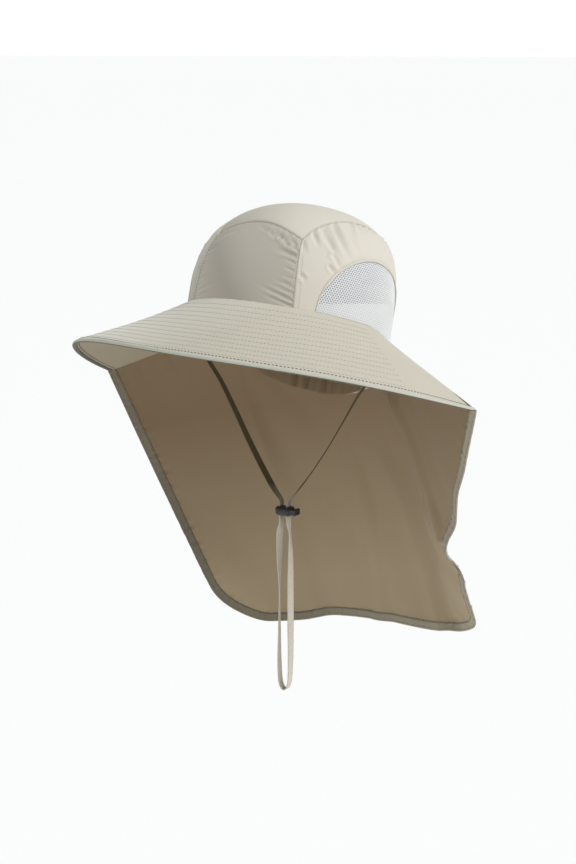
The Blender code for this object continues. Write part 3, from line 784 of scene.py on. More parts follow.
def grid_faces(rows, cols, closed=False, flip=False):
    r = np.arange(rows - 1)[:, None]
    c = np.arange(cols if closed else cols - 1)[None, :]
    right = (c + 1) % cols
    faces = np.stack([r * cols + c, r * cols + right, (r + 1) * cols + right, (r + 1) * cols + c], -1)
    faces = faces.reshape(-1, 4)
    return faces[:, ::-1] if flip else faces


def tube(name, rings, finish):
    """A closed tube from the lines of points along its sides."""
    points = np.stack(rings, 1)
    count, sides = points.shape[:2]
    faces = [list(f) for f in grid_faces(count, sides, True)]
    last = count * sides - 1
    faces += [list(range(sides)), list(range(last, last - sides, -1))]
    made = mesh_piece(name, points, faces, finish)
    bm = bmesh.new()
    bm.from_mesh(made.data)
    bmesh.ops.recalc_face_normals(bm, faces=bm.faces)
    bm.to_mesh(made.data)
    bm.free()
    return made


def put_flat(made, flat):
    """Write each vertex's place on the flat cloth, in metres, as a UV map."""
    layer = made.data.uv_layers.new(name="flat")
    index = np.zeros(len(made.data.loops), np.int32)
    made.data.loops.foreach_get("vertex_index", index)
    layer.uv.foreach_set("vector", np.asarray(flat, np.float32).reshape(-1, 2)[index].ravel())


def flat_places(points):
    """Places on the flat cloth from lengths along a grid of points, measured from its middle."""
    across = lengths_along(points, 1)
    across = across - across[:, [points.shape[1] // 2]]
    return np.stack([across, lengths_along(points, 0)], -1)


def shell(name, outer, inner, finish, lining, flat, closed=False):
    """A closed wall between two grids of points, the first of which is its outer face."""
    rows, cols = outer.shape[:2]
    flip = crossed(outer)[1]
    outside = grid_faces(rows, cols, closed, flip)
    inside = outside[:, ::-1] + rows * cols
    border = [np.arange(cols), (rows - 1) * cols + np.arange(cols)[::-1]]
    if closed:
        border = [np.append(line, line[0]) for line in border]
    else:
        border.append(np.arange(rows)[::-1] * cols)
        border.append(np.arange(rows) * cols + cols - 1)
    rims = []
    for line in border:
        a, b = line[:-1], line[1:]
        rim = np.stack([b, a, a + rows * cols, b + rows * cols], -1)
        rims.append(rim[:, ::-1] if flip else rim)
    faces = np.concatenate([outside, inside, *rims])
    points = np.concatenate([outer.reshape(-1, 3), inner.reshape(-1, 3)])
    made = mesh_piece(name, points, faces.tolist(), finish)
    put_flat(made, np.concatenate([flat.reshape(-1, 2)] * 2))
    made.data.materials.append(lining)
    slots = np.zeros(len(faces), np.int32)
    slots[len(outside):len(outside) + len(inside)] = 1
    made.data.polygons.foreach_set("material_index", slots)
    return made


def cloth(name, points, wall, finish, lining, flat, closed=False):
    """A wall of cloth whose outer face passes through a grid of points."""
    inner = points - grid_normals(points) * wall
    return shell(name, points, inner, finish, lining, flat, closed)


def dress(made, body, slot, *nodes):
    """Ride on a body and stand for CAD nodes; the slot is not used."""
    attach(made, body)
    if nodes:
        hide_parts(*nodes)


def surface_of(points, flip):
    """A tree of a grid's surface, for laying things on it."""
    faces = grid_faces(*points.shape[:2], flip=flip)
    return BVHTree.FromPolygons(points.reshape(-1, 3).tolist(), faces.tolist())


def resampled(points, step):
    """A line of points at an even step."""
    points = np.asarray(points)
    lengths = lengths_along(points[None], 1)[0]
    count = max(int(round(lengths[-1] / step)), 1)
    wanted = np.linspace(0, lengths[-1], count + 1)
    return np.stack([np.interp(wanted, lengths, points[:, i]) for i in range(3)], -1)


def stitch_run(line, normals, radius, pitch):
    """Vertices and faces of a row of stitches along a line that lies on cloth."""
    lengths = lengths_along(line[None], 1)[0]
    count = int(lengths[-1] / pitch)
    starts = np.arange(count) * pitch + (lengths[-1] - count * pitch) / 2

    def read(values, at):
        return np.stack([np.interp(at, lengths, values[:, i]) for i in range(3)], -1)

    rings = []
    for share, thick, lift in STITCH_PROFILE:
        at = starts + share * STITCH_SHARE * pitch
        normal = read(normals, at)
        ahead = read(line, at + pitch * 0.05) - read(line, at - pitch * 0.05)
        ahead /= np.maximum(np.linalg.norm(ahead, axis=-1, keepdims=True), 1e-12)
        side = np.cross(ahead, normal)
        centre = read(line, at) + normal * radius * lift
        for k in range(STITCH_SIDES):
            turn = 2 * pi * k / STITCH_SIDES
            rings.append(centre + (side * cos(turn) + normal * sin(turn)) * radius * thick)
    verts = np.stack(rings, 1)
    n = STITCH_SIDES
    per = n * len(STITCH_PROFILE)
    faces = [tuple(face) for face in grid_faces(len(STITCH_PROFILE), n, True).tolist()]
    faces += [tuple(range(n - 1, -1, -1)), tuple(range(per - n, per))]
    all_faces = [tuple(v + i * per for v in face) for i in range(count) for face in faces]
    return verts.reshape(-1, 3), all_faces


def stitches(name, runs, finish, radius, pitch=STITCH_PITCH):
    """One piece made of rows of stitches; each run is a line of points and their normals."""
    points, faces = [], []
    used = 0
    for line, normals in runs:
        verts, quads = stitch_run(line, normals, radius, pitch)
        points.append(verts)
        faces.extend(tuple(v + used for v in face) for face in quads)
        used += len(verts)
    return mesh_piece(name, np.concatenate(points), faces, finish)


def run_on(tree, points):
    """A stitch run laid on a surface: its points and normals."""
    found = [tree.find_nearest(Vector(point)) for point in points]
    return np.array([spot for spot, *_ in found]), np.array([normal for _, normal, *_ in found])


def inset_line(points, edge, reach, skip=2):
    """A line a set distance inside one edge of a grid, and its normals."""
    normals = grid_normals(points)
    turned = {"start": (points, normals), "end": (points[:, ::-1], normals[:, ::-1]),
              "bottom": (points.swapaxes(0, 1), normals.swapaxes(0, 1)),
              "top": (points[::-1].swapaxes(0, 1), normals[::-1].swapaxes(0, 1))}
    lines, ways = turned[edge]
    lengths = lengths_along(lines, 1)
    index = np.minimum((lengths < reach).sum(1) - 1, lines.shape[1] - 2)
    row = np.arange(len(lines))
    gap = lengths[row, index + 1] - lengths[row, index]
    part = ((reach - lengths[row, index]) / gap)[:, None]
    spots = lines[row, index] + (lines[row, index + 1] - lines[row, index]) * part
    return spots[skip:-skip], ways[row, index][skip:-skip]


def smoothed(values, span):
    """Rows of vectors averaged along a line and brought back to unit length."""
    padded = np.concatenate([values[:1].repeat(span, 0), values, values[-1:].repeat(span, 0)])
    sums = np.cumsum(np.concatenate([np.zeros((1, 3)), padded]), axis=0)
    mean = (sums[2 * span + 1:] - sums[:-2 * span - 1]) / (2 * span + 1)
    return unit(mean)


# Crown

def ridge(away, height, place, width):
    """A rounded ridge that runs a set distance away from an edge or a line."""
    return height * np.exp(-((away - place) / width) ** 2)


def crease_relief(points, table, mirrored):
    """Depth in metres of the creases in a table, at upright crown points."""
    x = -points[..., 0] if mirrored else points[..., 0]
    angle = np.degrees(np.arctan2(x / RIM_HALF_WIDTH, -points[..., 1] / RIM_HALF_LENGTH))
    width = RIM_HALF_LENGTH * 1000 * pi / 180
    place = np.stack([angle * width * crown_shrink(points[..., 2]) ** 0.5, points[..., 2] * 1000], -1)
    depth = np.zeros(points.shape[:2])
    for angle_a, high_a, angle_b, high_b, deep, half_width in table:
        shrink_a = crown_shrink(high_a / 1000) ** 0.5
        shrink_b = crown_shrink(high_b / 1000) ** 0.5
        start = np.array([angle_a * width * shrink_a, high_a])
        run = np.array([angle_b * width * shrink_b, high_b]) - start
        offset = place - start
        along = offset @ run / (run @ run)
        nearest = run * np.clip(along, CREASE_LEAD, 1.0)[..., None]
        aside = np.linalg.norm(offset - nearest, axis=-1) / half_width
        fade = smooth_step((1 - along) / CREASE_EASE)
        valley = np.exp(-aside ** 2) - ridge(aside, **SHOULDER)
        depth -= deep * valley * fade
    return depth / 1000


def seam_relief(columns, rows, top=False, bottom=False):
    """A shallow valley along both sides of a panel, and along its other edges where asked."""
    edges = [columns - columns[:, [0]], columns[:, [-1]] - columns]
    if top:
        edges.append(rows[[-1]] - rows)
    if bottom:
        edges.append(rows)
    depth = np.zeros(columns.shape)
    for away in edges:
        depth -= np.exp(-(away / SEAM_VALLEY) ** 2)
    return depth * SEAM_DEPTH


def finished_panel(name, raw, relief, finish, slot, node, inner):
    """A crown panel from upright points and its relief, with seams pressed in."""
    flat = flat_places(raw)
    shaped = raw + grid_normals(raw) * relief[..., None]
    points = worn(shaped)
    made = cloth(name, points, CROWN_WALL, finish, inner, flat=flat)
    dress(made, "hat", slot, node)
    return points


def front_points(columns, levels):
    t = shares(columns)[None, :]
    level = mix(-RIM_TUCK / FRONT_SEAM_SIDE_HEIGHT, 1.0, shares(levels))[:, None]
    side = mix(FRONT_PANEL_ANGLE, FRONT_CORNER_ANGLE, level)
    angle = mix(-side, side, t)
    return crown_points(angle, level * front_seam_height(t))


def make_crown_front(finish, inner):
    raw = front_points(*FRONT_STEPS)
    lengths = lengths_along(raw, 1)
    from_foot = lengths_along(raw, 0)
    far_side = raw[..., 0] < 0
    ease_start, ease_length = CORNER_EASE
    from_corner = smooth_step((np.abs(raw[..., 0]) - ease_start) / ease_length)
    relief = seam_relief(lengths, from_foot) * np.where(far_side, FAR_SEAM_SHARE, 1.0)
    from_top = from_foot[[-1]] - from_foot
    relief -= SEAM_DEPTH * np.exp(-(from_top / SEAM_VALLEY) ** 2) * mix(MIDDLE_SHARE, 1.0, from_corner)
    from_side = np.minimum(lengths, lengths[:, [-1]] - lengths)
    creases = crease_relief(raw, FRONT_CREASES, False)
    creases = creases + MIRRORED_CREASES * crease_relief(raw, FRONT_CREASES, True)
    relief += creases * mix(MIDDLE_SHARE, 1.0, smooth_step(from_side / PINNED_REACH))
    gathers = ripples("front_gathers", lengths)
    relief += gathers * np.exp(-from_top / FRONT_GATHER_REACH) * mix(MIDDLE_SHARE, 1.0, from_corner)
    ticks = ripples("front_ticks", from_foot)
    relief += ticks * np.exp(-(from_side / FRONT_TICK_REACH) ** 2) * np.where(far_side, MIDDLE_SHARE, 1.0)
    wander = ripples("front_wander", raw[..., 0] + 0.6 * raw[..., 2])
    relief += wander * smooth_step(raw[..., 2] / 0.020)
    return finished_panel("front_panel", raw, relief, finish, "front_cloth", "crown_front", inner)


def make_crown_top(finish, inner):
    across = shares(TOP_COLUMNS)[None, :]
    rows = [crown_over(top_seam_spots(*np.broadcast_arrays(across, along)))
            for along in shares(TOP_STEPS)[:, None, None]]
    angle = pi - mix(-BACK_PANEL_ANGLE, BACK_PANEL_ANGLE, across)
    low = -rim_drop(angle) - RIM_TUCK
    for along in shares(BACK_STEPS)[1:]:
        rows.append(crown_points(angle, mix(BACK_CORNER_HEIGHT, low, along)))
    raw = np.concatenate(rows, 0)
    lengths = lengths_along(raw, 1)
    flat_rows = lengths_along(raw, 0)
    relief = seam_relief(lengths, flat_rows, bottom=True)
    relief += ripples("top_wander", raw[..., 0] * 0.8 + raw[..., 1])
    from_foot = flat_rows[[-1]] - flat_rows
    relief += ripples("back_gathers", lengths / RIM_HALF_WIDTH) * np.exp(-from_foot / BACK_GATHER_REACH)
    return finished_panel("top_panel", raw, relief, finish, "pale_cloth", "crown_top", inner)


def side_feet():
    start = FRONT_PANEL_ANGLE
    end = pi - BACK_PANEL_ANGLE
    foot = NET_APEX_ANGLE - NET_FRONT_REACH
    heel = NET_APEX_ANGLE + NET_BACK_REACH
    before = mix(start, foot, shares(SIDE_FOOT_STEPS)[:-1])
    after = mix(heel, end, shares(SIDE_FOOT_STEPS)[1:])
    arch_angle, arch_height = net_arch(-np.cos(pi * shares(SIDE_ARCH_STEPS)))
    angle = np.concatenate([before, arch_angle, after])
    height = np.concatenate([-rim_drop(before) - RIM_TUCK, arch_height, -rim_drop(after) - RIM_TUCK])
    return angle, height


def side_points():
    angle, foot = side_feet()
    share = (angle - FRONT_PANEL_ANGLE) / (pi - BACK_PANEL_ANGLE - FRONT_PANEL_ANGLE)
    along = np.clip(mix(share, (1 - np.cos(pi * share)) / 2, SIDE_CROWDING), 0.0, 1.0)
    top = crown_over(top_seam_spots(np.ones_like(along), along))
    top_turn = np.stack([top[:, 0] / RIM_HALF_WIDTH, -top[:, 1] / RIM_HALF_LENGTH], -1)
    top_turn = unit(top_turn)
    foot_turn = np.stack([np.sin(angle), np.cos(angle)], -1)
    level = shares(SIDE_LEVELS)[:, None]
    turn = mix(foot_turn[None], top_turn[None], level[..., None])
    height = mix(foot[None], top[None, :, 2], level)
    return crown_points(np.arctan2(turn[..., 0], turn[..., 1]), height)


def make_crown_side(side, word, finish, inner):
    raw = side_points()
    if side < 0:
        raw = raw * np.array([-1.0, 1.0, 1.0])
    lengths = lengths_along(raw, 1)
    flat_rows = lengths_along(raw, 0)
    relief = seam_relief(lengths, flat_rows, top=True)
    relief += ridge(flat_rows, **ARCH_RIDGE)
    relief += ridge(flat_rows, **ARCH_GROOVE)
    from_seam = flat_rows[[-1]] - flat_rows
    pinned = smooth_step(from_seam / PINNED_REACH)
    relief += crease_relief(raw, SIDE_GATHERS, side < 0) * mix(*SIDE_CREASE_SHARES, pinned)
    relief += ripples("side_puckers", lengths, side) * np.exp(-(from_seam / SIDE_PUCKER_REACH) ** 2)
    relief += ripples("side_wander", raw[..., 1] + raw[..., 2], side)
    name = f"side_panel_{word}"
    return finished_panel(name, raw, relief, finish, "pale_cloth", f"crown_side_{word}", inner)


def make_crown_stitches(front_grid, top_grid, side_grids, finish):
    """Topstitching beside the crown's seams and round the net windows."""
    runs = [inset_line(front_grid, edge, SEAM_INSET) for edge in ("start", "end")]
    runs += [inset_line(top_grid, edge, SEAM_INSET) for edge in ("start", "end", "bottom")]
    for grid in side_grids:
        runs += [inset_line(grid, "start", reach) for reach in (SEAM_INSET, SECOND_ROW_INSET)]
        runs += [inset_line(grid, edge, SEAM_INSET) for edge in ("end", "top")]
        runs.append(inset_line(grid, "bottom", ARCH_ROW_INSET, skip=SIDE_FOOT_STEPS))
    made = stitches("crown_stitches", runs, finish, CROWN_STITCH_RADIUS, CROWN_STITCH_PITCH)
    dress(made, "hat", "pale_cloth")


def make_net(side, word, finish):
    """The net: rings of thread round hexagonal holes."""
    points, faces = [], []
    rows = int((NET_HEIGHT + RIM_DIP) / NET_ROW) + 4
    per = RIM_HALF_LENGTH
    start = (NET_APEX_ANGLE - NET_FRONT_REACH) * per
    end = (NET_APEX_ANGLE + NET_BACK_REACH) * per
    cols = int((end - start) / NET_PITCH) + 2
    index = {}

    def vertex(key, s, h):
        if key not in index:
            index[key] = len(points)
            points.append((s / per, h))
        return index[key]

    for r in range(rows):
        for c in range(cols):
            s = start + (c + 0.5 * (r % 2)) * NET_PITCH
            h = NET_HEIGHT + NET_MARGIN - r * NET_ROW
            angle = s / per
            turn = (angle - NET_APEX_ANGLE) * per
            reach = (NET_FRONT_REACH if turn < 0 else NET_BACK_REACH) * per + NET_MARGIN
            if abs(turn) > reach:
                continue
            drop = float(rim_drop(np.array(angle)))
            ceiling = mix(-drop, NET_HEIGHT + NET_MARGIN, (1 - (turn / reach) ** 2) ** 0.5)
            if h > ceiling or h < -drop - RIM_TUCK:
                continue
            outer, inner = [], []
            for k, (x, y) in enumerate(NET_CORNERS):
                place = (s + x * NET_PITCH, h + y * NET_ROW)
                key = (round(place[0] / NET_PITCH * 2), round(place[1] / NET_ROW * 50))
                outer.append(vertex(key, *place))
                hole = 1 - NET_STRAND
                inner.append(vertex((r, c, k), s + x * NET_PITCH * hole, h + y * NET_ROW * hole))
            for k in range(6):
                right = (k + 1) % 6
                faces.append((outer[k], outer[right], inner[right], inner[k]))
    places = np.array(points)
    raw = crown_points(places[:, 0], places[:, 1], NET_INSET)
    if side < 0:
        raw[:, 0] *= -1
        faces = [face[::-1] for face in faces]
    made = mesh_piece(f"net_window_{word}", worn(raw), faces, finish, smooth=False)
    put_flat(made, np.stack([places[:, 0] * per, places[:, 1]], -1))
    thick = made.modifiers.new("wall", "SOLIDIFY")
    thick.thickness = NET_WALL
    thick.offset = 0
    dress(made, "hat", "net", f"net_{word}")


def make_sweatband(finish, back_finish):
    """The band inside the rim, gathered by elastic round the back; its inner face, and its outer face round
    the back, take a darker colour that is painted shade.
    """
    columns, levels = BAND_STEPS
    angle = (shares(columns)[:-1] * 2 * pi - pi)[None, :]
    level = shares(levels)[:, None]
    behind = smooth_step((np.abs(angle) - BAND_BACK_START) / BAND_BACK_EASE)
    gathers = ripples("band_gathers", angle / (2 * pi))
    steps, tops = np.array(BAND_TOP).T
    top = np.interp(np.degrees(np.abs(angle)), steps, tops / 1000)
    places, droops = np.array(BAND_DROOP).T
    droop = np.interp(np.degrees(angle), places, droops / 1000)
    low = -rim_drop(angle) - mix(*BAND_LOW, behind) - droop
    height = mix(low, top, level)
    wobble = gathers * behind * (0.5 + 0.5 * np.sin(pi * level) ** 0.6)
    angle, height, wobble = np.broadcast_arrays(angle, height, wobble)
    raw = crown_points(angle, height, 0.0)
    shrink = 1 - (BAND_INSET + BAND_BACK_INSET * behind - wobble) / RIM_HALF_WIDTH
    raw[..., 0] *= shrink
    raw[..., 1] *= shrink
    flat = np.stack([angle * RIM_HALF_LENGTH, height], -1)
    made = cloth("inner_band", worn(raw), BAND_WALL, finish, back_finish, closed=True, flat=flat)
    # Inner faces and the back of the band take the second material, a painted shade
    inside = np.zeros(len(made.data.polygons), np.int32)
    made.data.polygons.foreach_get("material_index", inside)
    centres = np.zeros(len(made.data.polygons) * 3)
    made.data.polygons.foreach_get("center", centres)
    x, y = centres.reshape(-1, 3)[:, :2].T
    turn = np.abs(np.arctan2(x, -y))
    made.data.polygons.foreach_set("material_index", np.maximum(inside, turn > BAND_BACK_START))
    dress(made, "hat", "band", "sweatband")


# Brim

def make_brim(finish, under):
    columns, levels = BRIM_COLUMNS, BRIM_ROWS * STEPS_PER_ROW
    angle = mix(-BRIM_END_ANGLE, BRIM_END_ANGLE, shares(columns))[None, :]
    out = mix(BRIM_START, 1.0, shares(levels))[:, None]
    angle, out = np.broadcast_arrays(angle, out)
    raw = brim_points(angle, out)
    stitched = smooth_step((ROWS_END_ANGLE - np.abs(angle)) / ROWS_END_EASE)
    bulge = np.abs(np.sin(pi * out * BRIM_ROWS)) ** ROW_ROUNDNESS - ROW_ROUNDNESS
    relief = ROW_DEPTH * bulge * stitched
    lengths = lengths_along(raw, 1)
    across = lengths_along(raw, 0)
    relief += ripples("brim_wander", raw[..., 0] * 0.7 + raw[..., 1] * 0.5)
    relief += ripples("row_puckers", lengths + 7 * np.round(out * BRIM_ROWS)) * stitched
    seam = np.minimum(lengths, lengths[:, [-1]] - lengths)
    relief -= SEAM_DEPTH * np.exp(-(seam / SEAM_VALLEY) ** 2)
    normals = grid_normals(raw)
    if normals[levels // 2, columns // 2, 2] < 0:
        normals = -normals
    points = leaned(raw + normals * relief[..., None])
    below = leaned(raw + normals * (relief * UNDERSIDE_SHARE - BRIM_SHEET)[..., None])
    flat = np.stack([lengths - lengths[:, [columns // 2]], across], -1)
    made = shell("brim_cloth", points, below, finish, under, flat=flat)
    dress(made, "hat", "pale_cloth", "brim")
    return points, below


def brim_run(tree, out, limit, way):
    """A run of stitches across the brim at a share of the way out, on its upper or lower face."""
    angle = np.linspace(-limit, limit, EDGE_POINTS)
    line, normals = run_on(tree, leaned(brim_points(angle, np.full_like(angle, out))))
    return line, normals * np.where(normals[:, [2]] < 0, -1.0, 1.0) * way


def make_brim_stitches(faces_above_below, finish, edge_finish):
    """The rows of stitching and a darker row beside the edge, on the upper and the lower face."""
    for word, grid, way in zip(("above", "below"), faces_above_below, (1.0, -1.0)):
        tree = surface_of(grid, False)
        runs = [brim_run(tree, row / BRIM_ROWS, ROWS_END_ANGLE, way) for row in range(1, BRIM_ROWS)]
        edge_runs = [brim_run(tree, EDGE_ROW, BRIM_END_ANGLE, way)]
        for name, these, thread, radius in (("brim_stitches", runs, finish, BRIM_STITCH_RADIUS),
                                            ("edge_stitches", edge_runs, edge_finish, EDGE_STITCH_RADIUS)):
            made = stitches(f"{name}_{word}", these, thread, radius, BRIM_STITCH_PITCH)
            dress(made, "hat", "pale_cloth")


def make_binding(finish, shaded):
    """The rolled binding along the brim's edge, folded over the edge above and below; its lower sides carry
    a darker painted shade.
    """
    angle = np.linspace(-BRIM_END_ANGLE, BRIM_END_ANGLE, EDGE_POINTS)
    edge = brim_edge_points(angle)
    outward = unit(edge - brim_rim_points(angle))
    along = unit(np.gradient(edge, axis=0))
    above = np.cross(along, outward)
    above *= np.sign(above[:, [2]])
    centre = edge + outward * BINDING_SHIFT - above * BRIM_WALL / 2
    lengths = lengths_along(edge[None], 1)[0]
    rope = ripples("binding_rope", lengths)
    rings = []
    for k in range(BINDING_SIDES):
        turn = 2 * pi * k / BINDING_SIDES
        reach_out = BINDING_INNER_REACH if cos(turn) < 0 else 1.0
        x = cos(turn) * (BINDING_RADIUS * reach_out + rope)
        y = sin(turn) * (BINDING_RADIUS * BINDING_FLATNESS + rope)
        rings.append(leaned(centre + outward * x[:, None] + above * y[:, None]))
    made = tube("edge_binding", rings, finish)
    made.data.materials.append(shaded)
    # The lower sides take the darker material: painted shade
    lower = np.arange(len(made.data.polygons)) % BINDING_SIDES >= BINDING_SIDES * BINDING_LOWER_START
    lower[-2:] = False
    made.data.polygons.foreach_set("material_index", lower.astype(np.int32))
    flat = np.stack(np.broadcast_arrays(lengths[:, None], np.arange(BINDING_SIDES)[None] * 0.0008), -1)
    put_flat(made, flat)
    dress(made, "hat", "edge_tape", "brim_binding")


# Flap

def flap_grid(columns, levels):
    """Shares across and down for the flap's grid, with its lower corners rounded."""
    hem = flap_controls(shares(200), "hem")
    hem_length = np.linalg.norm(np.diff(hem, axis=0), axis=-1).sum()
    edge = flap_points(np.ones(101), shares(100))
    edge_length = np.linalg.norm(np.diff(edge, axis=0), axis=-1).sum()
    across = crowded(shares(columns), FLAP_CROWDING)
    from_edge = np.minimum(across, 1 - across) * hem_length
    inside = np.maximum(FLAP_CORNER_RADIUS - from_edge, 0.0)
    rise = FLAP_CORNER_RADIUS - np.sqrt(FLAP_CORNER_RADIUS ** 2 - inside ** 2)
    depth = 1 - rise / edge_length
    down = (1 - shares(levels))[:, None] * depth[None, :]
    across, down = np.broadcast_arrays(across[None, :], down)
    return across, down


def flap_edge_line(points):
    """The flap's free edge: down one side, along the hem and up the other side."""
    left = points[::-1, 0]
    hem = points[0]
    right = points[:, -1]
    return np.concatenate([left[:-1], hem, right[1:]])


def near_line(points, line, step):
    """Each point's distance from a line and its nearest place along it."""
    spots = resampled(line, step)
    tree = KDTree(len(spots))
    for i, spot in enumerate(spots):
        tree.insert(spot, i)
    tree.balance()
    away = np.zeros(points.shape[:2])
    along = np.zeros(points.shape[:2])
    for r in range(points.shape[0]):
        for c in range(points.shape[1]):
            _, index, gap = tree.find(points[r, c])
            away[r, c] = gap
            along[r, c] = index * step
    return away, along


def make_flap(outer, inner):
    across, down = flap_grid(*FLAP_STEPS)
    raw = flap_points(across, down)
    flat = flat_places(raw)
    from_edge, nearest = near_line(raw, flap_edge_line(raw), EDGE_STEP)
    relief = ripples("hem_ridge", nearest) * ridge(from_edge, 1.0, HEM_WIDTH, HEM_RIDGE_REACH)
    relief += ripples("edge_waves", nearest) * ridge(from_edge, 1.0, 0.0, EDGE_WAVE_REACH)
    from_top = down * FLAP_DROP
    gathers = ripples("flap_gathers", flat[-1:, :, 0])
    relief += gathers * np.exp(-from_top / FLAP_GATHER_REACH) * smooth_step(from_top / FLAP_GATHER_START)
    relief += ripples("flap_wander", across * 1.2 + down * 0.5)
    relief += fold_offset(FLAP_CREASES, across, down)
    points = raw + grid_normals(raw) * relief[..., None]
    made = cloth("flap_cloth", points, FLAP_WALL, outer, inner, flat=flat)
    dress(made, "hat", "warm_cloth", "flap")
    return made, points


def make_flap_hem(points, finish):
    """The turned hem, on the inside of the flap's free edge."""
    tree = surface_of(points, crossed(points)[1])
    edge = resampled(flap_edge_line(points), HEM_STEP)
    along = unit(np.gradient(edge, axis=0))
    _, normals = run_on(tree, edge)
    inward = unit(np.cross(smoothed(normals, 5), smoothed(along, 2)))
    middle = points[points.shape[0] // 2, points.shape[1] // 2]
    pick = len(edge) // 2
    if inward[pick] @ (middle - edge[pick]) < 0:
        inward = -inward
    lengths = lengths_along(edge[None], 1)[0]
    pucker = ripples("hem_puckers", lengths)
    rows = []
    for share, lift in HEM_PROFILE:
        reach = share if abs(share) < 0.01 else share * HEM_WIDTH
        target = edge + inward * reach
        spots, normals = run_on(tree, target)
        normals = smoothed(normals, 2)
        if reach < 0:
            spots = target
        inside = -normals * (FLAP_WALL + HEM_WALL * lift + pucker[:, None] * (lift > 0.5))
        rows.append(spots + inside)
    grid = np.stack(rows, 0)
    faces = grid_faces(*grid.shape[:2])
    made = mesh_piece("flap_hem", grid, faces, finish)
    flat = np.stack(np.broadcast_arrays(lengths[None, :], np.arange(len(HEM_PROFILE))[:, None] * 0.0015), -1)
    put_flat(made, flat)
    dress(made, "hat", "warm_cloth")
    return made, tree, edge, inward


def make_flap_stitches(tree, edge, inward, finish):
    runs = []
    for reach in (SEAM_INSET, HEM_WIDTH - HEM_ROW_INSET):
        line, normals = run_on(tree, edge + inward * reach)
        runs.append((line - normals * (FLAP_WALL + HEM_WALL * HEM_STITCH_LIFT), -normals))
        runs.append((line + normals * FLAP_STITCH_LIFT, normals))
    made = stitches("flap_stitches", runs, finish, FLAP_STITCH_RADIUS)
    dress(made, "hat", "warm_cloth")
    return made


# Chin strap and lock

def strap_places(count):
    rows = np.array(STRAP_ROUTE)
    fine = catmull(rows, shares(4000))
    lengths = lengths_along(fine[None, :, :3], 1)[0]
    wanted = np.linspace(0, lengths[-1], count + 1)
    places = np.stack([np.interp(wanted, lengths, fine[:, i]) for i in range(4)], -1)
    return places[:, :3], np.radians(places[:, 3]), lengths[-1]


def make_strap(finish):
    centre, turn, length = strap_places(STRAP_STEPS)
    along = unit(np.gradient(centre, axis=0))
    wide = np.stack([np.cos(turn), np.sin(turn), np.zeros_like(turn)], -1)
    wide = unit(wide - along * (wide * along).sum(-1, keepdims=True))
    thick = np.cross(along, wide)
    half, deep = STRAP_WIDTH / 2, STRAP_THICKNESS / 2
    rings = [centre + wide * half * x + thick * deep * y for x, y in STRAP_SECTION]
    made = tube("strap_tape", rings, finish)
    lengths = np.linspace(0, length, len(centre))
    flat = np.stack(np.broadcast_arrays(lengths[:, None], half * np.array(STRAP_SECTION)[:, 0]), -1)
    put_flat(made, flat)
    dress(made, "hat", "strap_tape", "chin_strap")


def make_lock(finish):
    for node in ("cord_lock", "lock_plunger"):
        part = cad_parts[node]
        part.data.materials.clear()
        part.data.materials.append(finish)


# Stage and light

def make_floor():
    half, low = FLOOR_HALF_SIZE, FLOOR_HEIGHT
    corners = [(-half, -half, low), (half, -half, low), (half, half, low), (-half, half, low)]
    nodes = Nodes("floor")
    noise = nodes.add("ShaderNodeTexNoise", Scale=3.0, Detail=2.0)
    shown = nodes.tinted(noise.outputs["Fac"], (0.95, 0.95, 0.95), (0.97, 0.97, 0.97))
    put(nodes.tree, shown, nodes.shader.inputs["Base Color"])
    nodes.shader.inputs["Roughness"].default_value = 0.9
    mesh_piece("floor", corners, [(0, 1, 2, 3)], nodes.material, smooth=False)


def make_world():
    """A soft even studio, white round the horizon and darker on one side."""
    world = bpy.data.worlds.new("studio")
    bpy.context.scene.world = world
    world.use_nodes = True
    tree = world.node_tree
    way = tree.nodes.new("ShaderNodeTexCoord").outputs["Generated"]
    split = tree.nodes.new("ShaderNodeSeparateXYZ")
    put(tree, way, split.inputs[0])
    side = tree.nodes.new("ShaderNodeVectorMath")
    side.operation = "DOT_PRODUCT"
    side.inputs[1].default_value = SHADED_WAY
    put(tree, way, side.inputs[0])
    both = tree.nodes.new("ShaderNodeMath")
    both.operation = "MULTIPLY"
    put(tree, mapped(tree, split.outputs[2], SKY_RISE, SKY_STRENGTH), both.inputs[0])
    put(tree, mapped(tree, side.outputs["Value"], (0.0, 1.0), (1.0, SHADED_STRENGTH)), both.inputs[1])
    background = tree.nodes["Background"]
    put(tree, both.outputs[0], background.inputs["Strength"])
    background.inputs["Color"].default_value = (1.0, 1.0, 1.0, 1.0)


def make_sun(name, towards, strength, spread, colour=(1.0, 1.0, 1.0)):
    """A distant soft light, which lies in one direction from the hat."""
    light = bpy.data.lights.new(name, "SUN")
    light.energy = strength * pi
    light.angle = radians(spread)
    light.color = colour
    made = bpy.data.objects.new(name, light)
    made.rotation_euler = Vector(towards).to_track_quat("Z", "Y").to_euler()
    bpy.context.collection.objects.link(made)


make_camera()
# The second colour is a painted shade for the strands above the lock, inside the hat's shadow
strap_finish = tape_finish("strap_tape", (0.58, 0.54, 0.455), (0.080, 0.058, 0.029))
black_finish = plastic_finish("black_plastic", (0.010, 0.010, 0.011))
make_strap(strap_finish)
make_lock(black_finish)

pale = cloth_finish("pale_cloth", (0.60, 0.57, 0.495))
# The top panel darkens towards its front left: painted shade for the crown's side away from the key light
top = cloth_finish("top_cloth", (0.60, 0.57, 0.495),
                   painted_light=((0.41, 0.38, 0.325), (0.03, -0.03, 0.10), (-0.05, -0.07, 0.095)))
# The front panel is darker than the others, partly painted shade for its side away from the key light, and
# turns paler towards its left: painted light
front = cloth_finish("front_cloth", (0.45, 0.42, 0.36),
                     painted_light=((0.63, 0.59, 0.51), (0.00, -0.08, 0.03), (-0.035, -0.085, 0.005)))
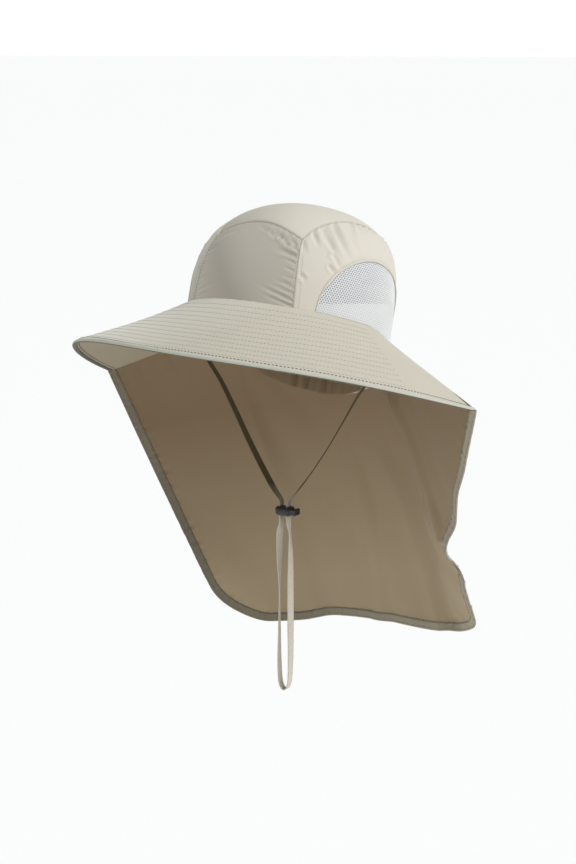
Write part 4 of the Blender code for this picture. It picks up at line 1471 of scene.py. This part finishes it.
# The brim top turns pale and cool towards its left: painted light
brim_top = cloth_finish("brim_top", (0.515, 0.485, 0.405),
                        painted_light=((0.85, 0.86, 0.79), (0.03, -0.14, -0.03), (-0.17, -0.03, -0.06)))
# The brim's underside is given the dark brown it shows in the shade under the brim: painted shade
under = cloth_finish("under_cloth", (0.33, 0.28, 0.20))
lining = cloth_finish("lining", (0.62, 0.65, 0.68))
# The flap's inside is painted shade, a dark brown for the same pale cloth in the brim's shadow, turning
# lighter lower down: painted light
flap_inside = cloth_finish("flap_inside", (0.222, 0.158, 0.091), spread=0.04,
                           painted_light=((0.415, 0.33, 0.213), (-0.04, 0.05, -0.09), (-0.01, 0.05, -0.27)))
# The hem is the pale outer cloth turned in, given a dark painted shade that turns lighter towards +X:
# painted light
hem_finish = cloth_finish("hem_cloth", (0.20, 0.175, 0.125),
                          painted_light=((0.39, 0.35, 0.27), (-0.14, 0.05, -0.20), (0.10, 0.05, -0.20)))
net_finish = cloth_finish("net_thread", (0.85, 0.86, 0.86), roughness=0.6)
band_finish = cloth_finish("band_cloth", (0.66, 0.67, 0.68))
binding_finish = cloth_finish("binding", (0.50, 0.50, 0.425), bump=0.2)
# Painted shade for the binding's underside
binding_painted_shade = cloth_finish("binding_painted_shade", (0.13, 0.12, 0.085), bump=0.2)
# The thread is darker than the cloth, partly its own colour and partly painted shade of the stitch holes
thread = thread_finish("thread", (0.36, 0.33, 0.27))
edge_thread = thread_finish("edge_thread", (0.11, 0.11, 0.10))
flap_thread = thread_finish("flap_thread", (0.14, 0.12, 0.08))

front_grid = make_crown_front(front, lining)
top_grid = make_crown_top(top, lining)
side_grids = []
for word, side in (("left", 1), ("right", -1)):
    side_grids.append(make_crown_side(side, word, pale, lining))
    make_net(side, word, net_finish)
make_crown_stitches(front_grid, top_grid, side_grids, thread)
make_sweatband(band_finish, flap_inside)
brim_surface = make_brim(brim_top, under)
make_brim_stitches(brim_surface, thread, edge_thread)
make_binding(binding_finish, binding_painted_shade)
flap_piece, flap_surface = make_flap(pale, flap_inside)
flap_hem, flap_tree, flap_edge, flap_inward = make_flap_hem(flap_surface, hem_finish)
flap_sewing = make_flap_stitches(flap_tree, flap_edge, flap_inward, flap_thread)

make_floor()
make_world()
make_sun("key", (0.75, 0.0, 0.66), 0.70, 40)
make_sun("cool_side", (-0.3, 0.0, 0.95), 0.15, 60, (0.93, 0.98, 1.0))
bpy.context.scene.view_settings.view_transform = "Standard"
